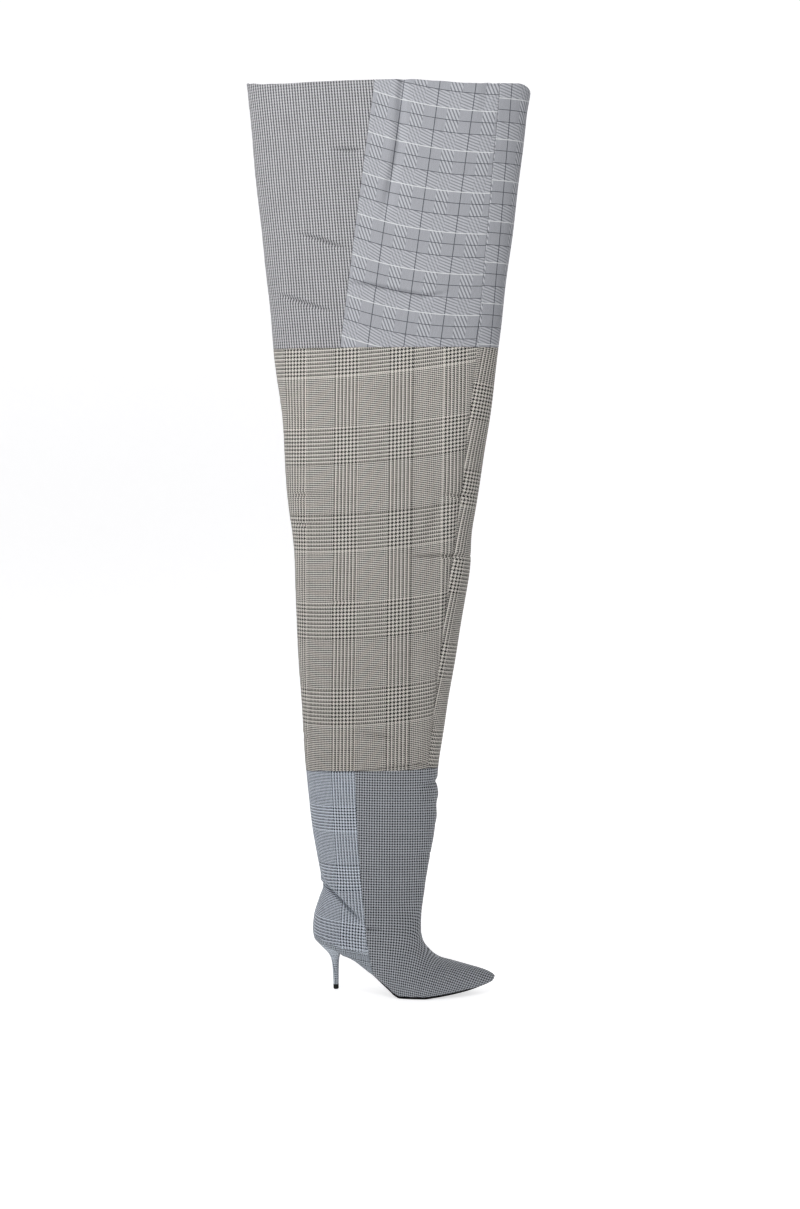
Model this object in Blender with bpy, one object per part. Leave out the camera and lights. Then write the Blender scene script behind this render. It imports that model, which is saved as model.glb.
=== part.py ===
"""Thigh-high boot of patchwork suiting cloth, with a pointed toe and a slim covered heel.

The boot is a right one. It stands on its sole on the plane z = 0, with its toe towards +X and its outer side
towards -Y. The tables are in millimetres, measured forward from the back of the heel and up from the floor.
"""

import math
from collections import namedtuple

import bmesh
import bpy
from mathutils import Vector

# Driving sizes, in millimetres
BALL_WIDTH = 79.2
SHAFT_WIDTH = 97.0
UPPER_WALL = 1.6
SHAFT_WALL = 1.3
INSOLE_THICKNESS = 2.4
TOP_LIFT_HEIGHT = 6.0
SEAM_GAP = 0.3
HEEL_TO_ORIGIN = 99.8

# How finely the forms are cut
UPPER_COLUMNS = 30
UPPER_STEPS_PER_ROW = 2
MIDDLE_BAND_STEPS = 2
TOP_BAND_STEPS = 3
BOARD_STEPS_PER_ROW = 2
HEEL_COLUMNS = 24
HEEL_STEPS_PER_ROW = 2
WELD_DISTANCE = 2e-6
TURN_STEP = 0.01
OUTLINE_STEP = 0.05
BOARD_CLEAR = 0.6
HALVINGS = 40
SHARP_ANGLE = math.radians(40)
MM = 0.001

# Sections across the foot, from the point of the toe to the back of the heel. Each one runs from the edge of
# the last's bottom (base) up to the ridge of the vamp (top). Widths are shares of the ball's width, and the
# sole's edge is how far it reaches past the upper's bottom edge.
FootRow = namedtuple(
    "FootRow",
    "base_x base_z sole_thickness sole_edge top_x top_z width base_width centre_y widest back_power",
)
FOOT = [
    FootRow(239.8, 18.4, 1.8, -0.6, 241.6, 22.6, 0.000, 0.000, 6.0, 0.42, 2.0),
    FootRow(238.9, 18.0, 1.8, -0.6, 240.3, 24.3, 0.112, 0.074, 5.8, 0.42, 2.0),
    FootRow(235.8, 16.9, 2.0, -0.4, 236.0, 27.2, 0.198, 0.148, 5.2, 0.42, 2.0),
    FootRow(226.0, 13.8, 2.2, 0.0, 226.0, 31.4, 0.308, 0.250, 4.2, 0.40, 2.0),
    FootRow(208.0, 9.6, 2.4, 0.8, 207.0, 36.5, 0.496, 0.420, 2.2, 0.38, 2.0),
    FootRow(186.0, 6.4, 2.6, 1.4, 185.0, 42.0, 0.720, 0.622, 0.0, 0.36, 2.0),
    FootRow(166.0, 4.4, 2.8, 1.6, 169.0, 46.0, 0.890, 0.780, -1.8, 0.34, 2.0),
    FootRow(152.0, 3.3, 3.0, 1.6, 160.2, 51.2, 0.970, 0.856, -2.4, 0.34, 2.0),
    FootRow(136.0, 3.3, 3.0, 1.6, 153.2, 58.2, 1.000, 0.868, -2.8, 0.34, 2.0),
    FootRow(121.0, 3.3, 3.0, 1.6, 149.0, 63.8, 0.988, 0.840, -3.0, 0.35, 2.0),
    FootRow(113.0, 5.9, 2.9, 1.5, 147.2, 68.0, 0.972, 0.786, -3.1, 0.36, 2.0),
    FootRow(104.8, 12.2, 2.7, 1.4, 145.8, 72.8, 0.950, 0.722, -3.2, 0.37, 2.0),
    FootRow(90.0, 22.8, 2.4, 1.2, 144.7, 81.6, 0.915, 0.616, -3.0, 0.40, 2.1),
    FootRow(71.4, 36.3, 2.1, 1.2, 144.4, 91.2, 0.885, 0.530, -2.4, 0.43, 2.2),
    FootRow(54.0, 47.6, 2.0, 1.2, 144.7, 100.2, 0.865, 0.498, -1.6, 0.45, 2.3),
    FootRow(37.4, 53.6, 2.0, 1.2, 145.4, 108.8, 0.852, 0.506, -0.8, 0.46, 2.4),
    FootRow(19.0, 61.6, 2.0, 1.2, 146.4, 117.0, 0.845, 0.515, -0.2, 0.47, 2.5),
    FootRow(7.5, 66.6, 2.0, 1.2, 147.4, 124.4, 0.842, 0.374, 0.0, 0.48, 2.6),
    FootRow(2.0, 69.0, 2.0, 1.2, 148.6, 131.6, 0.842, 0.000, 0.0, 0.48, 2.6),
]
BREAST_ROW = 15

# Sections across the leg, from the counter up to the collar. Each one runs from the back to the front.
# Widths are shares of the shaft's greatest width.
LegRow = namedtuple("LegRow", "back_x back_z front_x front_z width back_power")
LOWER_LEG = [
    LegRow(0.0, 81.0, 149.8, 142.0, 0.690, 2.6),
    LegRow(1.6, 99.0, 152.6, 159.0, 0.700, 2.5),
    LegRow(8.0, 120.0, 155.8, 178.0, 0.712, 2.4),
    LegRow(13.6, 136.0, 158.2, 192.0, 0.724, 2.3),
    LegRow(10.6, 152.0, 160.6, 206.0, 0.744, 2.2),
    LegRow(5.0, 181.0, 163.0, 227.0, 0.784, 2.1),
    LegRow(-3.0, 226.0, 165.0, 256.0, 0.836, 2.0),
    LegRow(-9.5, 289.0, 167.0, 292.0, 0.890, 2.0),
]
MIDDLE_BAND = [
    LegRow(-9.5, 289.0, 167.0, 292.0, 0.890, 2.0),
    LegRow(-16.5, 385.0, 181.0, 386.0, 0.930, 2.0),
    LegRow(-24.0, 515.0, 202.0, 515.0, 0.965, 2.0),
    LegRow(-25.0, 568.0, 209.4, 568.0, 0.975, 2.0),
    LegRow(-28.0, 600.0, 211.0, 600.0, 0.980, 2.0),
    LegRow(-34.8, 648.0, 218.0, 648.0, 0.990, 2.0),
    LegRow(-41.8, 754.0, 235.2, 754.0, 1.000, 2.0),
    LegRow(-54.0, 850.0, 247.0, 851.0, 1.000, 2.0),
]
TOP_BAND = [
    LegRow(-54.0, 850.0, 247.0, 851.0, 1.000, 2.0),
    LegRow(-59.4, 913.0, 253.8, 914.0, 1.000, 2.0),
    LegRow(-74.8, 1050.0, 271.8, 1050.0, 0.990, 2.0),
    LegRow(-89.6, 1203.0, 289.2, 1198.0, 0.970, 2.0),
]

# Where the cut panels meet on the outer side, as shares of the way from back to front at a band's two ends
MIDDLE_FRONT_SEAM = (0.915, 0.905)
TOP_SIDE_SEAM = (0.295, 0.450)
TOP_FRONT_SEAM = (0.903, 0.899)

# Rings round the heel, from its seat down to the top lift
HeelRow = namedtuple("HeelRow", "back_x back_z front_x front_z width front_power")
HEEL = [
    HeelRow(1.5, 68.9, 37.4, 53.3, 43.0, 14.0),
    HeelRow(7.4, 62.6, 37.2, 51.2, 38.4, 9.0),
    HeelRow(12.8, 56.6, 36.6, 48.8, 31.5, 6.0),
    HeelRow(17.8, 51.4, 35.9, 46.2, 25.0, 4.6),
    HeelRow(21.4, 46.2, 35.3, 43.0, 19.6, 3.8),
    HeelRow(24.1, 40.4, 34.7, 39.0, 15.2, 3.2),
    HeelRow(25.5, 33.0, 34.3, 32.4, 11.8, 2.6),
    HeelRow(26.6, 20.0, 34.1, 20.0, 9.2, 2.4),
    HeelRow(27.2, 6.3, 34.1, 6.3, 8.4, 2.4),
]
HEEL_MIDDLE = 0.47
TOP_LIFT = [
    HeelRow(27.1, TOP_LIFT_HEIGHT, 34.2, TOP_LIFT_HEIGHT, 8.6, 2.4),
    HeelRow(27.2, 0.6, 34.1, 0.6, 8.4, 2.4),
    HeelRow(27.6, 0.0, 33.7, 0.0, 7.6, 2.4),
]

# How the two boards lie at the upper's bottom edge
OUTSOLE_EDGE_BEVEL = 0.8
INSOLE_INSET = 1.6
BREAST_GAP = 0.4

# Colours, roughness and metallic value of each piece
Finish = namedtuple("Finish", "colour roughness metallic")
HOUNDSTOOTH_GREY = Finish((0.200, 0.212, 0.228), 0.85, 0.0)
PLAIN_GREY = Finish((0.358, 0.358, 0.375), 0.85, 0.0)
WINDOWPANE_GREY = Finish((0.379, 0.387, 0.412), 0.85, 0.0)
GLEN_BEIGE = Finish((0.320, 0.307, 0.284), 0.85, 0.0)
GLEN_BLUE = Finish((0.250, 0.272, 0.298), 0.85, 0.0)
SOLE_BLACK = Finish((0.012, 0.012, 0.013), 0.45, 0.0)
LIFT_BLACK = Finish((0.010, 0.010, 0.010), 0.55, 0.0)
INSOLE_LEATHER = Finish((0.060, 0.056, 0.052), 0.60, 0.0)

Section = namedtuple(
    "Section", "base_x base_z top_x top_z half base_half centre_y widest back_power"
)


def clear_scene():
    """Removes every object, so that the part starts from an empty scene."""
    for obj in list(bpy.data.objects):
        bpy.data.objects.remove(obj)


def material(name, finish):
    """A Principled BSDF with one finish."""
    made = bpy.data.materials.new(name)
    made.use_nodes = True
    shader = made.node_tree.nodes["Principled BSDF"]
    shader.inputs["Base Color"].default_value = (*finish.colour, 1.0)
    shader.inputs["Roughness"].default_value = finish.roughness
    shader.inputs["Metallic"].default_value = finish.metallic
    return made


def in_part(x, y, z):
    """A point of the tables, in metres in the part's frame."""
    return Vector(((x - HEEL_TO_ORIGIN) * MM, y * MM, z * MM))


def slope_between(before, after):
    """The slope of a curve at a row that neither overshoots it nor bends a straight run."""
    if before * after <= 0.0:
        return 0.0
    return 2.0 * before * after / (before + after)


def smooth_row(rows, t):
    """The row at place t of a table, where whole numbers are the table's own rows."""
    first = min(max(int(t), 0), len(rows) - 2)
    share = t - first
    values = []
    for column in zip(*rows):
        steps = [after - before for before, after in zip(column, column[1:])]
        begin, end = steps[first], steps[first]
        if first > 0:
            begin = slope_between(steps[first - 1], steps[first])
        if first < len(steps) - 1:
            end = slope_between(steps[first], steps[first + 1])
        rise = steps[first]
        values.append(
            column[first]
            + share * begin
            + share**2 * (3.0 * rise - 2.0 * begin - end)
            + share**3 * (begin + end - 2.0 * rise)
        )
    return type(rows[0])(*values)


def places(row_count, steps):
    """Places along a table, with the same number of steps between each two of its rows."""
    return [i / steps for i in range((row_count - 1) * steps + 1)]


def foot_section(row):
    """A row of the foot as a section of the boot."""
    half = row.width * BALL_WIDTH / 2
    base_half = row.base_width * BALL_WIDTH / 2
    return Section(
        row.base_x,
        row.base_z,
        row.top_x,
        row.top_z,
        half,
        base_half,
        row.centre_y,
        row.widest,
        row.back_power,
    )


def leg_section(row):
    """A row of the leg as a section of the boot, closed at the back."""
    half = row.width * SHAFT_WIDTH / 2
    return Section(
        row.back_x, row.back_z, row.front_x, row.front_z, half, 0.0, 0.0, 0.5, row.back_power
    )


def section_point(section, turn):
    """A point of a section's outline, whose turn runs from 0, the base's outer side, over 1, the top, to 2."""
    side = -1.0 if turn <= 1.0 else 1.0
    angle = math.pi * (turn if turn <= 1.0 else 2.0 - turn)
    across = max(math.sin(angle), 0.0)
    along = abs(math.cos(angle))
    if angle <= math.pi / 2:
        power = 2.0 / section.back_power
        share = section.widest * (1.0 - along**power)
        reach = section.base_half + (section.half - section.base_half) * across**power
    else:
        share = section.widest + (1.0 - section.widest) * along
        reach = section.half * across
    x = section.base_x + (section.top_x - section.base_x) * share
    z = section.base_z + (section.top_z - section.base_z) * share
    return in_part(x, section.centre_y + side * reach, z)


def turn_at(section, share):
    """The turn at which the outer side is this share of the way from base to top."""
    if share <= section.widest:
        return math.acos((1.0 - share / section.widest) ** (section.back_power / 2.0)) / math.pi
    return 1.0 - math.acos((share - section.widest) / (1.0 - section.widest)) / math.pi


def grid_of(form, rings):
    """A grid laid over rings of points. Returns its vertices in the rings' order."""
    columns, rows = len(rings[0]), len(rings)
    made = bmesh.ops.create_grid(form, x_segments=columns - 1, y_segments=rows - 1, size=1.0)
    ordered = sorted(made["verts"], key=lambda vert: (round(vert.co.y, 5), round(vert.co.x, 5)))
    for index, vert in enumerate(ordered):
        vert.co = rings[index // columns][index % columns]
    return ordered


def mesh_of(name, form):
    """The finished mesh of a form, shaded smooth but for its sharp edges."""
    mesh = bpy.data.meshes.new(name)
    form.to_mesh(mesh)
    form.free()
    mesh.shade_smooth()
    mesh.set_sharp_from_angle(angle=SHARP_ANGLE)
    return mesh


def sheet_mesh(name, rings):
    """An open sheet over rings of points, welded where the points meet."""
    form = bmesh.new()
    grid_of(form, rings)
    bmesh.ops.remove_doubles(form, verts=form.verts, dist=WELD_DISTANCE)
    return mesh_of(name, form)


def solid_mesh(name, rings):
    """A closed solid over closed rings of points, capped at its two ends."""
    form = bmesh.new()
    grid_of(form, rings)
    bmesh.ops.remove_doubles(form, verts=form.verts, dist=WELD_DISTANCE)
    open_edges = [edge for edge in form.edges if edge.is_boundary]
    bmesh.ops.holes_fill(form, edges=open_edges, sides=0)
    bmesh.ops.recalc_face_normals(form, faces=form.faces)
    return mesh_of(name, form)


def panel_mesh(name, outer_rings, inner_rings):
    """A closed panel between an outer and an inner surface of the same rings."""
    form = bmesh.new()
    inner_place = form.verts.layers.float_vector.new("inner place")
    inner_points = [point for ring in inner_rings for point in ring]
    for vert, point in zip(grid_of(form, outer_rings), inner_points):
        vert[inner_place] = point
    pulled = bmesh.ops.extrude_face_region(form, geom=form.faces[:])
    for vert in pulled["geom"]:
        if isinstance(vert, bmesh.types.BMVert):
            vert.co = vert[inner_place]
    bmesh.ops.recalc_face_normals(form, faces=form.faces)
    return mesh_of(name, form)


def add_piece(name, mesh, finish, wall=0.0):
    """One named piece. A sheet gets its wall on its inner side."""
    piece = bpy.data.objects.new(name, mesh)
    bpy.context.scene.collection.objects.link(piece)
    piece.parent = bpy.data.objects["boot"]
    mesh.materials.append(material(name, finish))
    if wall > 0.0:
        solid = piece.modifiers.new("Wall", "SOLIDIFY")
        solid.thickness = wall * MM
        solid.offset = -1.0
        solid.use_even_offset = True
        solid.use_quality_normals = True
    return piece


def lift_ring(ring, rise):
    """A ring moved up or down."""
    return [point + Vector((0.0, 0.0, rise * MM)) for point in ring]


def add_upper():
    """The upper: foot, counter and lower leg in one wall, open at its top and along the sole."""
    sections = [foot_section(row) for row in FOOT] + [leg_section(row) for row in LOWER_LEG]
    turns = [2.0 * i / UPPER_COLUMNS for i in range(UPPER_COLUMNS + 1)]
    rings = []
    for place in places(len(sections), UPPER_STEPS_PER_ROW):
        section = smooth_row(sections, place)
        rings.append([section_point(section, turn) for turn in turns])
    rings[-1] = lift_ring(rings[-1], -SEAM_GAP / 2)
    add_piece("upper", sheet_mesh("upper", rings), HOUNDSTOOTH_GREY, UPPER_WALL)


def thinner(section, wall):
    """A section of the leg moved in by a wall at its back, its front and its sides."""
    x, z = section.top_x - section.base_x, section.top_z - section.base_z
    share = wall / math.hypot(x, z)
    return section._replace(
        base_x=section.base_x + share * x,
        base_z=section.base_z + share * z,
        top_x=section.top_x - share * x,
        top_z=section.top_z - share * z,
        half=section.half - wall,
    )


def turn_for(section, turn, length):
    """How much turn a short length of the outline takes, in millimetres."""
    ahead, behind = min(turn + TURN_STEP, 2.0), max(turn - TURN_STEP, 0.0)
    run = section_point(section, ahead) - section_point(section, behind)
    return length * MM * (ahead - behind) / run.length


def panel_turns(sections, place, begin, end, columns):
    """The turns of a panel's columns at a place of its band, clear of the seams on both sides."""
    section = smooth_row(sections, place)
    up = place / (len(sections) - 1)
    left = begin[0] + (begin[1] - begin[0]) * up
    right = end[0] + (end[1] - end[0]) * up
    left += turn_for(section, left, SEAM_GAP / 2)
    right -= turn_for(section, right, SEAM_GAP / 2)
    return [left + (right - left) * i / columns for i in range(columns + 1)]


def seam_turns(band, shares):
    """A seam's shares of the way from back to front, as turns at a band's two ends."""
    ends = (leg_section(band[0]), leg_section(band[-1]))
    return [turn_at(section, share) for section, share in zip(ends, shares)]


def add_panel(name, band, steps, begin, end, columns, finish, is_collar=False):
    """One cut panel of a band, between two seams, kept clear of the bands above and below it."""
    sections = [leg_section(row) for row in band]
    last = len(sections) - 1
    outer, inner = [], []
    for place in places(len(sections), steps):
        section = smooth_row(sections, place)
        turns = panel_turns(sections, place, begin, end, columns)
        rise = 0.0
        if place == 0:
            rise = SEAM_GAP / 2
        elif place == last and not is_collar:
            rise = -SEAM_GAP / 2
        outer.append(lift_ring([section_point(section, turn) for turn in turns], rise))
        section = thinner(section, SHAFT_WALL)
        inner.append(lift_ring([section_point(section, turn) for turn in turns], rise))
    add_piece(name, panel_mesh(name, outer, inner), finish)


def add_shaft():
    """The shaft: two bands of cut panels, the upper one open at the collar."""
    back, back_again = (0.0, 0.0), (2.0, 2.0)
    front = seam_turns(MIDDLE_BAND, MIDDLE_FRONT_SEAM)
    add_panel("shaft_middle_outer", MIDDLE_BAND, MIDDLE_BAND_STEPS, back, front, 14, GLEN_BEIGE)
    add_panel("shaft_middle_inner", MIDDLE_BAND, MIDDLE_BAND_STEPS, front, back_again, 20, GLEN_BEIGE)
    side = seam_turns(TOP_BAND, TOP_SIDE_SEAM)
    front = seam_turns(TOP_BAND, TOP_FRONT_SEAM)
    add_panel("shaft_top_rear", TOP_BAND, TOP_BAND_STEPS, back, side, 8, PLAIN_GREY, True)
    add_panel("shaft_top_front", TOP_BAND, TOP_BAND_STEPS, side, front, 8, WINDOWPANE_GREY, True)
    add_panel("shaft_top_inner", TOP_BAND, TOP_BAND_STEPS, front, back_again, 20, WINDOWPANE_GREY, True)


def bottom_edge(place, inset):
    """How far forward and how wide the bottom's outline is at a place, moved in square to itself."""
    last = len(FOOT) - 1
    ahead = smooth_row(FOOT, max(place - OUTLINE_STEP, 0.0))
    behind = smooth_row(FOOT, min(place + OUTLINE_STEP, last))
    row = smooth_row(FOOT, place)
    forward = 0.0 if place in (0.0, last) else ahead.base_x - behind.base_x
    wider = (ahead.base_width - behind.base_width) * BALL_WIDTH / 2
    length = math.hypot(forward, wider)
    half = row.base_width * BALL_WIDTH / 2 - inset * forward / length
    return row.base_x + inset * wider / length, max(half, 0.0)


def edge_at(x, inset):
    """The half width of the bottom's outline, moved in, where it is this far forward."""
    front, back = 0.0, float(len(FOOT) - 1)
    for _ in range(HALVINGS):
        middle = (front + back) / 2
        if bottom_edge(middle, inset)[0] > x:
            front = middle
        else:
            back = middle
    return bottom_edge((front + back) / 2, inset)[1]


def row_at(x):
    """The foot's row where its bottom edge is this far forward."""
    front, back = 0.0, float(len(FOOT) - 1)
    for _ in range(HALVINGS):
        middle = (front + back) / 2
        if smooth_row(FOOT, middle).base_x > x:
            front = middle
        else:
            back = middle
    return smooth_row(FOOT, (front + back) / 2)


def board_ring(x, half, top_rise, thickness, bevel):
    """A ring across a board under or inside the foot, above or below the foot's bottom edge."""
    row = row_at(x)
    top = row.base_z + top_rise
    bottom = top - (thickness or row.sole_thickness)
    bevel = min(bevel, half)
    outline = [
        (-half, top),
        (0.0, top),
        (half, top),
        (half, bottom + bevel),
        (half - bevel, bottom),
        (0.0, bottom),
        (bevel - half, bottom),
        (-half, bottom + bevel),
        (-half, top),
    ]
    return [in_part(x, row.centre_y + across, z) for across, z in outline]


def board_stations(front, back):
    """How far forward a board's rings are, from its front to its back."""
    rows = [smooth_row(FOOT, place) for place in places(len(FOOT), BOARD_STEPS_PER_ROW)]
    between = [row.base_x for row in rows if back + BOARD_CLEAR < row.base_x < front - BOARD_CLEAR]
    return [front, *between, back]


def add_outsole():
    """The outsole, from the toe to the heel breast, flat under the ball."""
    front = bottom_edge(0.0, -FOOT[0].sole_edge)[0]
    rings = []
    for x in board_stations(front, FOOT[BREAST_ROW].base_x + BREAST_GAP):
        half = 0.0 if x == front else edge_at(x, -row_at(x).sole_edge)
        rings.append(board_ring(x, half, -SEAM_GAP, None, OUTSOLE_EDGE_BEVEL))
    add_piece("outsole", solid_mesh("outsole", rings), SOLE_BLACK)


def add_insole():
    """The insole, inside the upper from the toe to the back of the heel."""
    front = bottom_edge(0.0, INSOLE_INSET)[0]
    back = bottom_edge(len(FOOT) - 1.0, INSOLE_INSET)[0]
    rings = []
    for x in board_stations(front, back):
        half = 0.0 if x in (front, back) else edge_at(x, INSOLE_INSET)
        rings.append(board_ring(x, half, INSOLE_THICKNESS, INSOLE_THICKNESS, 0.0))
    add_piece("insole", solid_mesh("insole", rings), INSOLE_LEATHER)


def heel_point(row, angle):
    """A point of a ring round the heel: rounded at the back, and as square at the breast as its row says."""
    length = row.front_x - row.back_x
    middle = row.back_x + HEEL_MIDDLE * length
    along, across = math.cos(angle), math.sin(angle)
    if along <= 0.0:
        x = middle + along * (middle - row.back_x)
        y = across * row.width / 2
    else:
        power = 2.0 / row.front_power
        x = middle + along**power * (row.front_x - middle)
        y = math.copysign(abs(across) ** power, across) * row.width / 2
    share = (x - row.back_x) / length
    return in_part(x, y, row.back_z + (row.front_z - row.back_z) * share)


def heel_rings(rows, steps):
    """Closed rings round a heel or its top lift."""
    angles = [2.0 * math.pi * i / HEEL_COLUMNS for i in range(HEEL_COLUMNS + 1)]
    return [
        [heel_point(smooth_row(rows, place), angle) for angle in angles]
        for place in places(len(rows), steps)
    ]


def add_heel():
    """The covered heel and the top lift it stands on."""
    add_piece("heel", solid_mesh("heel", heel_rings(HEEL, HEEL_STEPS_PER_ROW)), GLEN_BLUE)
    add_piece("top_lift", solid_mesh("top_lift", heel_rings(TOP_LIFT, 1)), LIFT_BLACK)


def main():
    """Builds the boot's pieces under one empty."""
    clear_scene()
    boot = bpy.data.objects.new("boot", None)
    bpy.context.scene.collection.objects.link(boot)
    add_upper()
    add_shaft()
    add_outsole()
    add_insole()
    add_heel()


main()
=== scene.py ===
"""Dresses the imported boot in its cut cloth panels, covered heel and black sole, in a pale studio."""

import logging
import math
from bisect import bisect_right
from dataclasses import dataclass, field
from enum import Enum
from typing import Any, Callable, NamedTuple, Sequence

import bmesh
import bpy
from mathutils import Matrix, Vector


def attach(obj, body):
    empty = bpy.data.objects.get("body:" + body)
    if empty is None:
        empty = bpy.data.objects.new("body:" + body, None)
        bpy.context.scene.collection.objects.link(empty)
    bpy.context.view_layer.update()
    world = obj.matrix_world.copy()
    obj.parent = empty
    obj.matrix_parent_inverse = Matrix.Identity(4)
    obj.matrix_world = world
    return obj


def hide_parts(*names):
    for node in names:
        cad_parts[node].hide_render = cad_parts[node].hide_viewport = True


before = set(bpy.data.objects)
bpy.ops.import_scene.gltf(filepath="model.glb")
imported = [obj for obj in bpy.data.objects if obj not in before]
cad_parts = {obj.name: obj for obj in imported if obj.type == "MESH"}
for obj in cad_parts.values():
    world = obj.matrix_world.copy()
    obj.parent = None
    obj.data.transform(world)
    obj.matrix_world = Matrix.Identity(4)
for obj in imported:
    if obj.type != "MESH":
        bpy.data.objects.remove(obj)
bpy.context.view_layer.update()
LOG = logging.getLogger("boot")

Colour = tuple[float, float, float, float]
Socket = bpy.types.NodeSocket

MM = 0.001
HEEL_TO_ORIGIN = 99.8
BALL_WIDTH = 79.2
SHAFT_WIDTH = 97.0
CLOTH_WALL = 0.8
SEAM_ROLL = 0.9
HEM_RADIUS = 1.3
SLACK = 0.7
WELD_DISTANCE = 0.00002


class FootRow(NamedTuple):
    """A section of the foot, from its bottom edge up to its ridge, with the sole under it."""

    base_x: float
    base_z: float
    sole_thickness: float
    sole_edge: float
    top_x: float
    top_z: float
    width: float
    base_width: float
    centre_y: float
    widest: float
    back_power: float


class LegRow(NamedTuple):
    """A section of the leg, from its back to its front."""

    back_x: float
    back_z: float
    front_x: float
    front_z: float
    width: float
    back_power: float


class HeelRow(NamedTuple):
    """A ring round the heel, from its back to its breast."""

    back_x: float
    back_z: float
    front_x: float
    front_z: float
    width: float
    front_power: float


class Section(NamedTuple):
    """One cross-section of the boot: a chord from its base to its top, and the girth about it."""

    base_x: float
    base_z: float
    top_x: float
    top_z: float
    half: float
    base_half: float
    centre_y: float
    widest: float
    back_power: float


FOOT = (
    FootRow(239.8, 18.4, 1.8, -0.6, 241.6, 22.6, 0.000, 0.000, 6.0, 0.42, 2.0),
    FootRow(238.9, 18.0, 1.8, -0.6, 240.3, 24.3, 0.112, 0.074, 5.8, 0.42, 2.0),
    FootRow(235.8, 16.9, 2.0, -0.4, 236.0, 27.2, 0.198, 0.148, 5.2, 0.42, 2.0),
    FootRow(226.0, 13.8, 2.2, 0.0, 226.0, 31.4, 0.308, 0.250, 4.2, 0.40, 2.0),
    FootRow(208.0, 9.6, 2.4, 0.8, 207.0, 36.5, 0.496, 0.420, 2.2, 0.38, 2.0),
    FootRow(186.0, 6.4, 2.6, 1.4, 185.0, 42.0, 0.720, 0.622, 0.0, 0.36, 2.0),
    FootRow(166.0, 4.4, 2.8, 1.6, 169.0, 46.0, 0.890, 0.780, -1.8, 0.34, 2.0),
    FootRow(152.0, 3.3, 3.0, 1.6, 160.2, 51.2, 0.970, 0.856, -2.4, 0.34, 2.0),
    FootRow(136.0, 3.3, 3.0, 1.6, 153.2, 58.2, 1.000, 0.868, -2.8, 0.34, 2.0),
    FootRow(121.0, 3.3, 3.0, 1.6, 149.0, 63.8, 0.988, 0.840, -3.0, 0.35, 2.0),
    FootRow(113.0, 5.9, 2.9, 1.5, 147.2, 68.0, 0.972, 0.786, -3.1, 0.36, 2.0),
    FootRow(104.8, 12.2, 2.7, 1.4, 145.8, 72.8, 0.950, 0.722, -3.2, 0.37, 2.0),
    FootRow(90.0, 22.8, 2.4, 1.2, 144.7, 81.6, 0.915, 0.616, -3.0, 0.40, 2.1),
    FootRow(71.4, 36.3, 2.1, 1.2, 144.4, 91.2, 0.885, 0.530, -2.4, 0.43, 2.2),
    FootRow(54.0, 47.6, 2.0, 1.2, 144.7, 100.2, 0.865, 0.498, -1.6, 0.45, 2.3),
    FootRow(37.4, 53.6, 2.0, 1.2, 145.4, 108.8, 0.852, 0.506, -0.8, 0.46, 2.4),
    FootRow(19.0, 61.6, 2.0, 1.2, 146.4, 117.0, 0.845, 0.515, -0.2, 0.47, 2.5),
    FootRow(7.5, 66.6, 2.0, 1.2, 147.4, 124.4, 0.842, 0.374, 0.0, 0.48, 2.6),
    FootRow(2.0, 69.0, 2.0, 1.2, 148.6, 131.6, 0.842, 0.000, 0.0, 0.48, 2.6),
)
BREAST_ROW = 15
EDGE_COVER = (
    (0.0, 1.0), (2.0, 1.2), (3.0, 1.0), (4.2, 0.0), (11.4, 0.0),
    (12.2, 0.8), (13.0, 1.9), (14.7, 1.9), (15.0, 0.0), (18.0, 0.0),
)

LEG = (
    LegRow(0.0, 81.0, 149.8, 142.0, 0.690, 2.6),
    LegRow(1.6, 99.0, 152.6, 159.0, 0.700, 2.5),
    LegRow(8.0, 120.0, 155.8, 178.0, 0.712, 2.4),
    LegRow(13.6, 138.0, 158.2, 192.0, 0.724, 2.3),
    LegRow(10.6, 152.0, 160.6, 206.0, 0.744, 2.2),
    LegRow(5.0, 181.0, 163.0, 227.0, 0.784, 2.1),
    LegRow(-3.0, 226.0, 165.0, 256.0, 0.836, 2.0),
    LegRow(-9.5, 289.0, 167.0, 292.0, 0.890, 2.0),
    LegRow(-16.5, 385.0, 181.0, 386.0, 0.930, 2.0),
    LegRow(-24.0, 515.0, 202.0, 515.0, 0.965, 2.0),
    LegRow(-25.0, 568.0, 209.4, 568.0, 0.975, 2.0),
    LegRow(-28.0, 600.0, 211.0, 600.0, 0.980, 2.0),
    LegRow(-34.8, 648.0, 218.0, 648.0, 0.990, 2.0),
    LegRow(-41.8, 754.0, 235.2, 754.0, 1.000, 2.0),
    LegRow(-54.0, 850.0, 247.0, 851.0, 1.000, 2.0),
    LegRow(-59.4, 913.0, 253.8, 914.0, 1.000, 2.0),
    LegRow(-74.8, 1050.0, 271.8, 1050.0, 0.990, 2.0),
    LegRow(-89.6, 1203.0, 289.2, 1198.0, 0.970, 2.0),
)
HEEL_BACK = len(FOOT) - 1.0
LOWER_SEAM = 26.0
UPPER_SEAM = 33.0
COLLAR = 36.0

LOWER_SEAM_LIFT = (
    (0.0, 0.5), (0.12, 2.5), (0.3, 5.6), (0.45, 6.8), (0.8, 7.2), (1.0, 6.0), (1.4, 3.0), (2.0, 0.5),
)
COLLAR_DROP = (
    (0.0, -3.0), (0.10, -0.6), (0.18, 2.2), (0.26, 3.0), (0.34, 2.2), (0.44, 1.4),
    (0.56, 0.8), (0.62, 2.8), (0.69, 5.0), (0.76, 5.0), (0.82, 3.4), (0.90, 2.4),
    (1.0, 2.0), (1.2, 3.4), (1.45, 1.4), (1.7, 2.4), (1.88, 0.0), (2.0, -3.0),
)

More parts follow.
